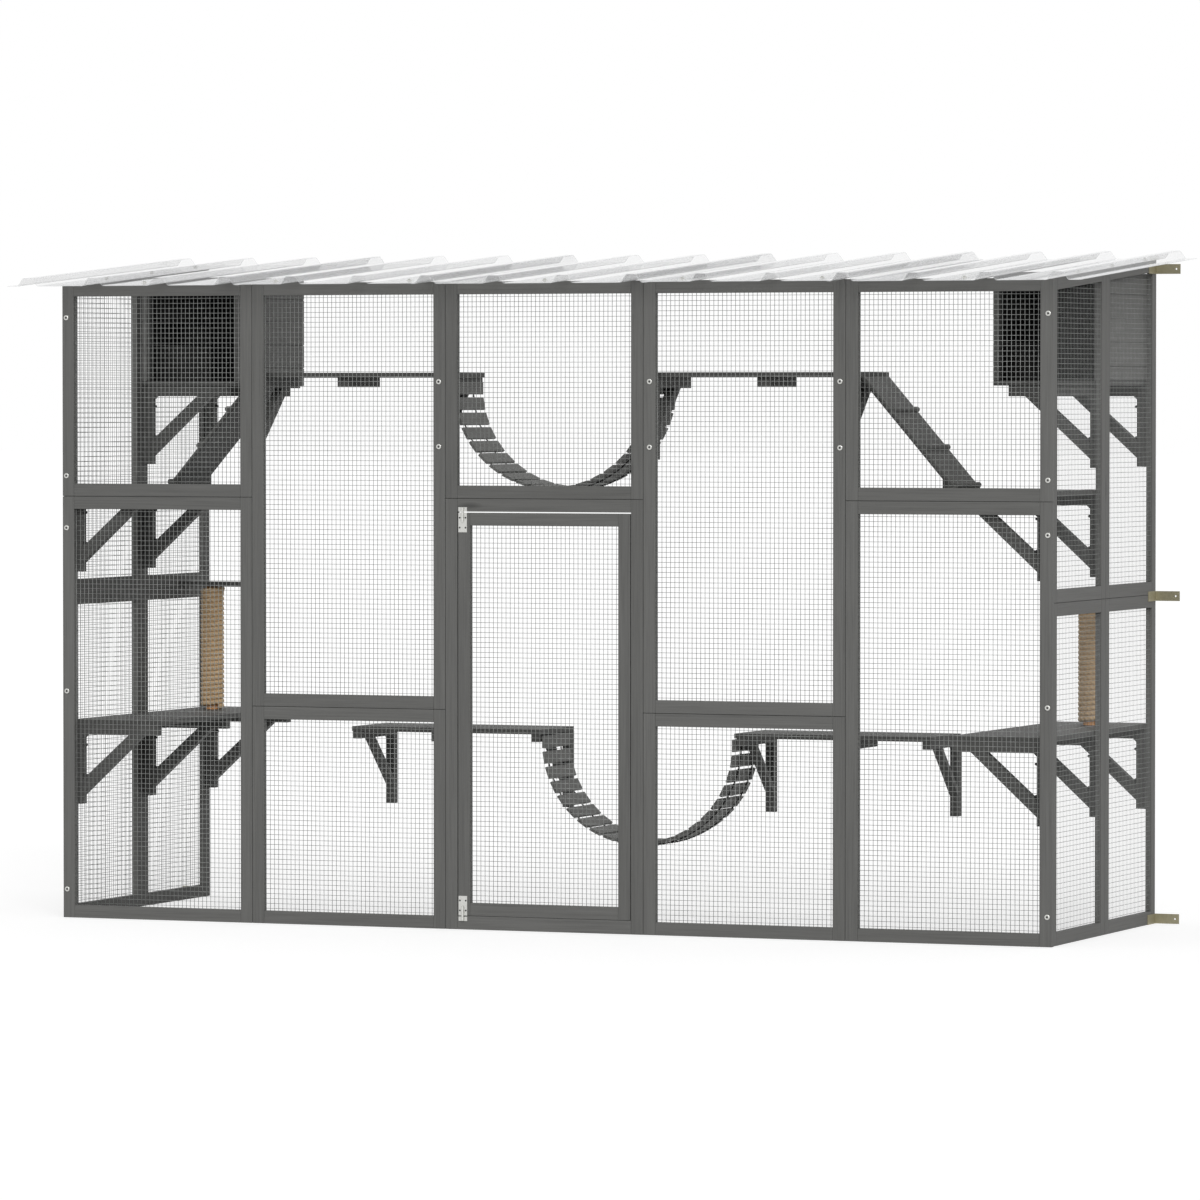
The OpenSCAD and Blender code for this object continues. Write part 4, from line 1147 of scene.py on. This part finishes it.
class ENCLOSURE_OT_bridges(TimberWork, Operator):
    """Builds the rope bridges: slats on two ropes"""

    bl_idname = "enclosure.bridges"
    bl_label = "Rope Bridges"

    HALF = 291.7
    SLAT_HALF, SLAT_T, SLAT_L = 18, 8, 200
    ROPES, ROPE_GAP, ROPE_TOP, ROPE_LAY = (46, 154), 0.75, 14.7, 0.021
    STEPS = 120

    def execute(self, context):
        finish, ease = self.timber(context)
        values = context.scene.cat_enclosure.bridges
        rope = twisted_fibre("dark rope", values.colour, 0.35, 0.85, 1400, 0.0003)
        # Shift to the right, height and distance back of its ends, sag
        bridges = [
            ("upper", 0, UPPER_WALK_Z - 44, 58, 278),
            ("lower", LOWER_SHIFT, LOWER_WALK_Z - 36, 683, 285),
        ]
        for word, shift, z, y0, sag in bridges:
            self.sag = sag
            bench = Bench(f"{word}_bridge_boards", shift=shift)
            for i in range(values.slats):
                self.slat(bench, i * math.pi / (values.slats - 1), y0, z, ease)
            bench.carry_out(finish, "timber", f"{word}_bridge", f"{word}_bridge_slats")
            bench = Bench(f"{word}_bridge_twisted_ropes")
            for y in self.ROPES:
                path = self.rope_path(shift, y0 + y, z, values.rope / MM)
                bench.twist(path, [unit(1)] * len(path), values.rope / 2, self.ROPE_LAY)
            bench.carry_out(rope, "rope", f"{word}_bridge", f"{word}_bridge_ropes")
        return {"FINISHED"}

    def hang(self, t):
        """A place on the hanging line, and how far the line leans there."""
        turn = math.atan2(self.sag * math.cos(t), self.HALF * math.sin(t))
        return -self.HALF * math.cos(t), -self.sag * math.sin(t), turn

    def slat(self, bench, t, y0, z, ease):
        """One slat, as far round the hanging line as t says, from 0 to half a turn."""
        x, drop, turn = self.hang(t)
        half, thick = self.SLAT_HALF, self.SLAT_T
        shape = [(-half, -thick), (half, -thick), (half, 0), (-half, 0)]
        bench.saw(turned_by(turn, x, z + drop, shape), 1, (y0, y0 + self.SLAT_L),
                  along=(0, 1, 0), ease=ease)

    def rope_path(self, shift, y, z, thick):
        """Down from one end, under the slats and up to the other end."""
        offset = self.SLAT_T + self.ROPE_GAP + thick / 2
        side = self.HALF + offset
        ends = [self.ROPE_TOP * (5 - k) / 5 for k in range(5)]
        path = [(-side, h) for h in ends]
        for k in range(self.STEPS + 1):
            x, drop, turn = self.hang(math.pi * k / self.STEPS)
            path.append((x - math.sin(turn) * offset, drop - math.cos(turn) * offset))
        path += [(side, h) for h in reversed(ends)]
        return [at(x + shift, y, z + h) for x, h in path]


class ENCLOSURE_OT_posts(Operator):
    """Winds the scratching posts with sisal rope"""

    bl_idname = "enclosure.posts"
    bl_label = "Scratching Posts"

    PLACES = ((-1386, 773), (1358, 773))
    WIDTH, HEIGHT = 70, 366
    SEAT = 0.3
    TURNS, STEPS = 24, 60
    LAY = 0.036

    def execute(self, context):
        values = context.scene.cat_enclosure.posts
        thick = values.sisal / MM
        radius, tall = (self.WIDTH - thick) / 2, thick * values.pressed
        first_z, rise = LOWER_Z + tall / 2 + self.SEAT, self.HEIGHT - tall - 2 * self.SEAT
        count = self.TURNS * self.STEPS
        bench = Bench("sisal_windings")
        for x, y in self.PLACES:
            path, out = [], []
            for i in range(count + 1):
                a = 2 * math.pi * i / self.STEPS
                out.append(Vector((math.cos(a), math.sin(a), 0)))
                path.append(at(x + radius * math.cos(a), y + radius * math.sin(a),
                               first_z + rise * i / count))
            # Both ends run on straight for a rope's thickness, in four steps
            step = unit(1) * thick * MM / 4
            path = ([path[0] - step * k for k in (4, 3, 2, 1)] + path
                    + [path[-1] + step * k for k in (1, 2, 3, 4)])
            out = [out[0]] * 4 + out + [out[-1]] * 4
            bench.twist(path, out, values.sisal / 2, self.LAY, pressed=values.pressed)
        finish = twisted_fibre("sisal", values.colour, 0.62, 0.9, 1100, 0.0004, 0.9)
        bench.carry_out(finish, "sisal", "frame", "post_windings")
        for word, _ in sides():
            dress(f"{word}_post_core", post_core(values))
        return {"FINISHED"}


class ENCLOSURE_OT_hardware(Operator):
    """Finishes the bolts, hinges and wall angles, and drives their screws"""

    bl_idname = "enclosure.hardware"
    bl_label = "Hardware"

    HINGE_XS, HINGE_ZS = (-255, -237), (1162, 1134, 53.5, 81.5)
    CORNER_X, CORNER_ZS = 1487, (82, 654, 1125, 1275, 1730)
    WALKWAY_XS, WALKWAY_DROPS = (-INNER_BRACKET_X, INNER_BRACKET_X, 884), (26, 209)

    def execute(self, context):
        values = context.scene.cat_enclosure.hardware
        zinc, dark = bright_zinc(values), dark_steel(values)
        brass = plated_metal("yellow brass", values.brass, 0.45, 120, 0.6)
        self.frame_bolts(zinc, dark)
        for name in ("hinge_frame_plates", "hinge_door_plates"):
            dress(name, zinc)
        for word, _ in sides():
            dress(f"{word}_wall_angles", brass)
        screws = Bench("hinge_screw_heads")
        for x in self.HINGE_XS:
            for z in self.HINGE_ZS:
                wood_screw(screws, at(x, -2, z), (0, -1, 0), 2.6, 0.9)
        screws.carry_out(dark, "hinges", "door")
        return {"FINISHED"}

    def frame_bolts(self, zinc, dark):
        """Round heads with a chamfered rim and a hexagon socket, whose inside is a dark piece standing
        in for shade.
        """
        heads, sockets = Bench("frame_bolt_heads"), Bench("frame_bolt_sockets")
        spots = [(side * self.CORNER_X, z) for _, side in sides() for z in self.CORNER_ZS]
        spots += [(x, UPPER_WALK_Z - drop) for x in self.WALKWAY_XS for drop in self.WALKWAY_DROPS]
        for x, z in spots:
            heads.turned(at(x, 0, z), (0, -1, 0), [
                (-44, 2.4), (-42, 3), (0, 3), (0, 7.5), (1.9, 7.5), (2.6, 7.1), (3, 6.3), (3, 3.5),
                (0.8, 3.5)], sides=24)
            # Painted shade: a dark steel hexagon in each socket
            sockets.turned(at(x, 0, z), (0, -1, 0), [(0.9, 3.4), (1.7, 3.4)], sides=6)
        heads.carry_out(zinc, "bolts", "frame", "frame_bolts")
        sockets.carry_out(dark, "bolts", "frame")


class ENCLOSURE_OT_stage(Operator):
    """Lays the floor, lights it and sets the camera"""

    bl_idname = "enclosure.stage"
    bl_label = "Floor, Light and Camera"

    SUN_FROM, SUN_WIDTH = (0.55, -1.0, 0.62), 30
    EYE, TILT, TURN, LENS = (7.55075, -18.74366, 1.50766), -0.0290, 0.3828, 212.04
    FLOOR_HALF, FLOOR_Z = 150, -0.0006

    def execute(self, context):
        values = context.scene.cat_enclosure.stage
        scene = context.scene
        scene.view_settings.view_transform = "Standard"
        self.floor(scene, values)
        self.sky(scene, values)
        lamp = bpy.data.lights.new("soft sun", "SUN")
        lamp.energy = values.sun
        lamp.angle = math.radians(self.SUN_WIDTH)
        sun = bpy.data.objects.new("soft sun", lamp)
        scene.collection.objects.link(sun)
        sun.rotation_euler = Vector(self.SUN_FROM).to_track_quat("Z", "Y").to_euler()
        eye = bpy.data.cameras.new("camera")
        eye.lens, eye.sensor_width, eye.clip_end = self.LENS, 36, 200
        camera = bpy.data.objects.new("camera", eye)
        camera.location = self.EYE
        camera.rotation_euler = (math.pi / 2 + self.TILT, 0, self.TURN)
        scene.collection.objects.link(camera)
        scene.camera = camera
        return {"FINISHED"}

    def seen(self, tree):
        """One for a ray that shows the background, straight, mirrored or through glass."""
        path = node(tree, "LightPath").outputs
        first = counted(tree, "MAXIMUM", path["Is Camera Ray"], path["Is Glossy Ray"])
        return counted(tree, "MAXIMUM", first, path["Is Transmission Ray"])

    def floor(self, scene, values):
        """A wide pale floor, which shows white and keeps the enclosure's shadow."""
        bm = bmesh.new()
        bmesh.ops.create_grid(bm, x_segments=8, y_segments=8, size=self.FLOOR_HALF)
        mesh = bpy.data.meshes.new("floor")
        bm.to_mesh(mesh)
        bm.free()
        floor = bpy.data.objects.new("floor", mesh)
        floor.location = (0, 0, self.FLOOR_Z)
        scene.collection.objects.link(floor)
        finish = bpy.data.materials.new("pale floor")
        finish.use_nodes = True
        tree = finish.node_tree
        tree.nodes.clear()
        matt = node(tree, "BsdfDiffuse", {"Color": (*values.floor, 1)})
        lifted = counted(tree, "MULTIPLY", self.seen(tree), values.glow)
        glow = node(tree, "Emission", {"Color": (1, 1, 1, 1), "Strength": lifted})
        both = node(tree, "AddShader", {0: matt.outputs[0], 1: glow.outputs[0]})
        node(tree, "OutputMaterial", {"Surface": both.outputs[0]})
        mesh.materials.append(finish)

    def sky(self, scene, values):
        """Even light from all round, and white where the background shows."""
        world = bpy.data.worlds.new("studio")
        scene.world = world
        world.use_nodes = True
        tree = world.node_tree
        tree.nodes.clear()
        level = node(tree, "MapRange", {"Value": self.seen(tree), "To Min": values.sky, "To Max": 1.0})
        sky = node(tree, "Background", {"Color": (1, 1, 1, 1), "Strength": level.outputs[0]})
        node(tree, "OutputWorld", {"Surface": sky.outputs[0]})


class ENCLOSURE_PT_sidebar(Panel):
    """Lists the enclosure's steps and values"""

    bl_label = "Cat Enclosure"
    bl_idname = "ENCLOSURE_PT_sidebar"
    bl_space_type = "VIEW_3D"
    bl_region_type = "UI"
    bl_category = "Cat Enclosure"

    def draw(self, context):
        values = context.scene.cat_enclosure
        for step, group in STEPS:
            box = self.layout.box()
            box.operator(step.bl_idname)
            if group:
                part = getattr(values, group)
                for key in part.__annotations__:
                    box.prop(part, key)


STEPS = (
    (ENCLOSURE_OT_panels, "timber"),
    (ENCLOSURE_OT_boards, None),
    (ENCLOSURE_OT_brackets, "brackets"),
    (ENCLOSURE_OT_houses, "houses"),
    (ENCLOSURE_OT_ramps, "ramps"),
    (ENCLOSURE_OT_netting, "netting"),
    (ENCLOSURE_OT_roof, "roof"),
    (ENCLOSURE_OT_bridges, "bridges"),
    (ENCLOSURE_OT_posts, "posts"),
    (ENCLOSURE_OT_hardware, "hardware"),
    (ENCLOSURE_OT_stage, "stage"),
)

CLASSES = (
    TimberValues, NettingValues, RoofValues, BracketValues, HouseValues, RampValues, BridgeValues,
    PostValues, HardwareValues, StageValues, EnclosureValues, *(step for step, _ in STEPS),
    ENCLOSURE_PT_sidebar,
)


def register():
    for kind in CLASSES:
        bpy.utils.register_class(kind)
    bpy.types.Scene.cat_enclosure = PointerProperty(type=EnclosureValues)


def unregister():
    del bpy.types.Scene.cat_enclosure
    for kind in reversed(CLASSES):
        bpy.utils.unregister_class(kind)


def main():
    register()
    for step, _ in STEPS:
        group, name = step.bl_idname.split(".")
        getattr(getattr(bpy.ops, group), name)()


if __name__ == "__main__":
    main()
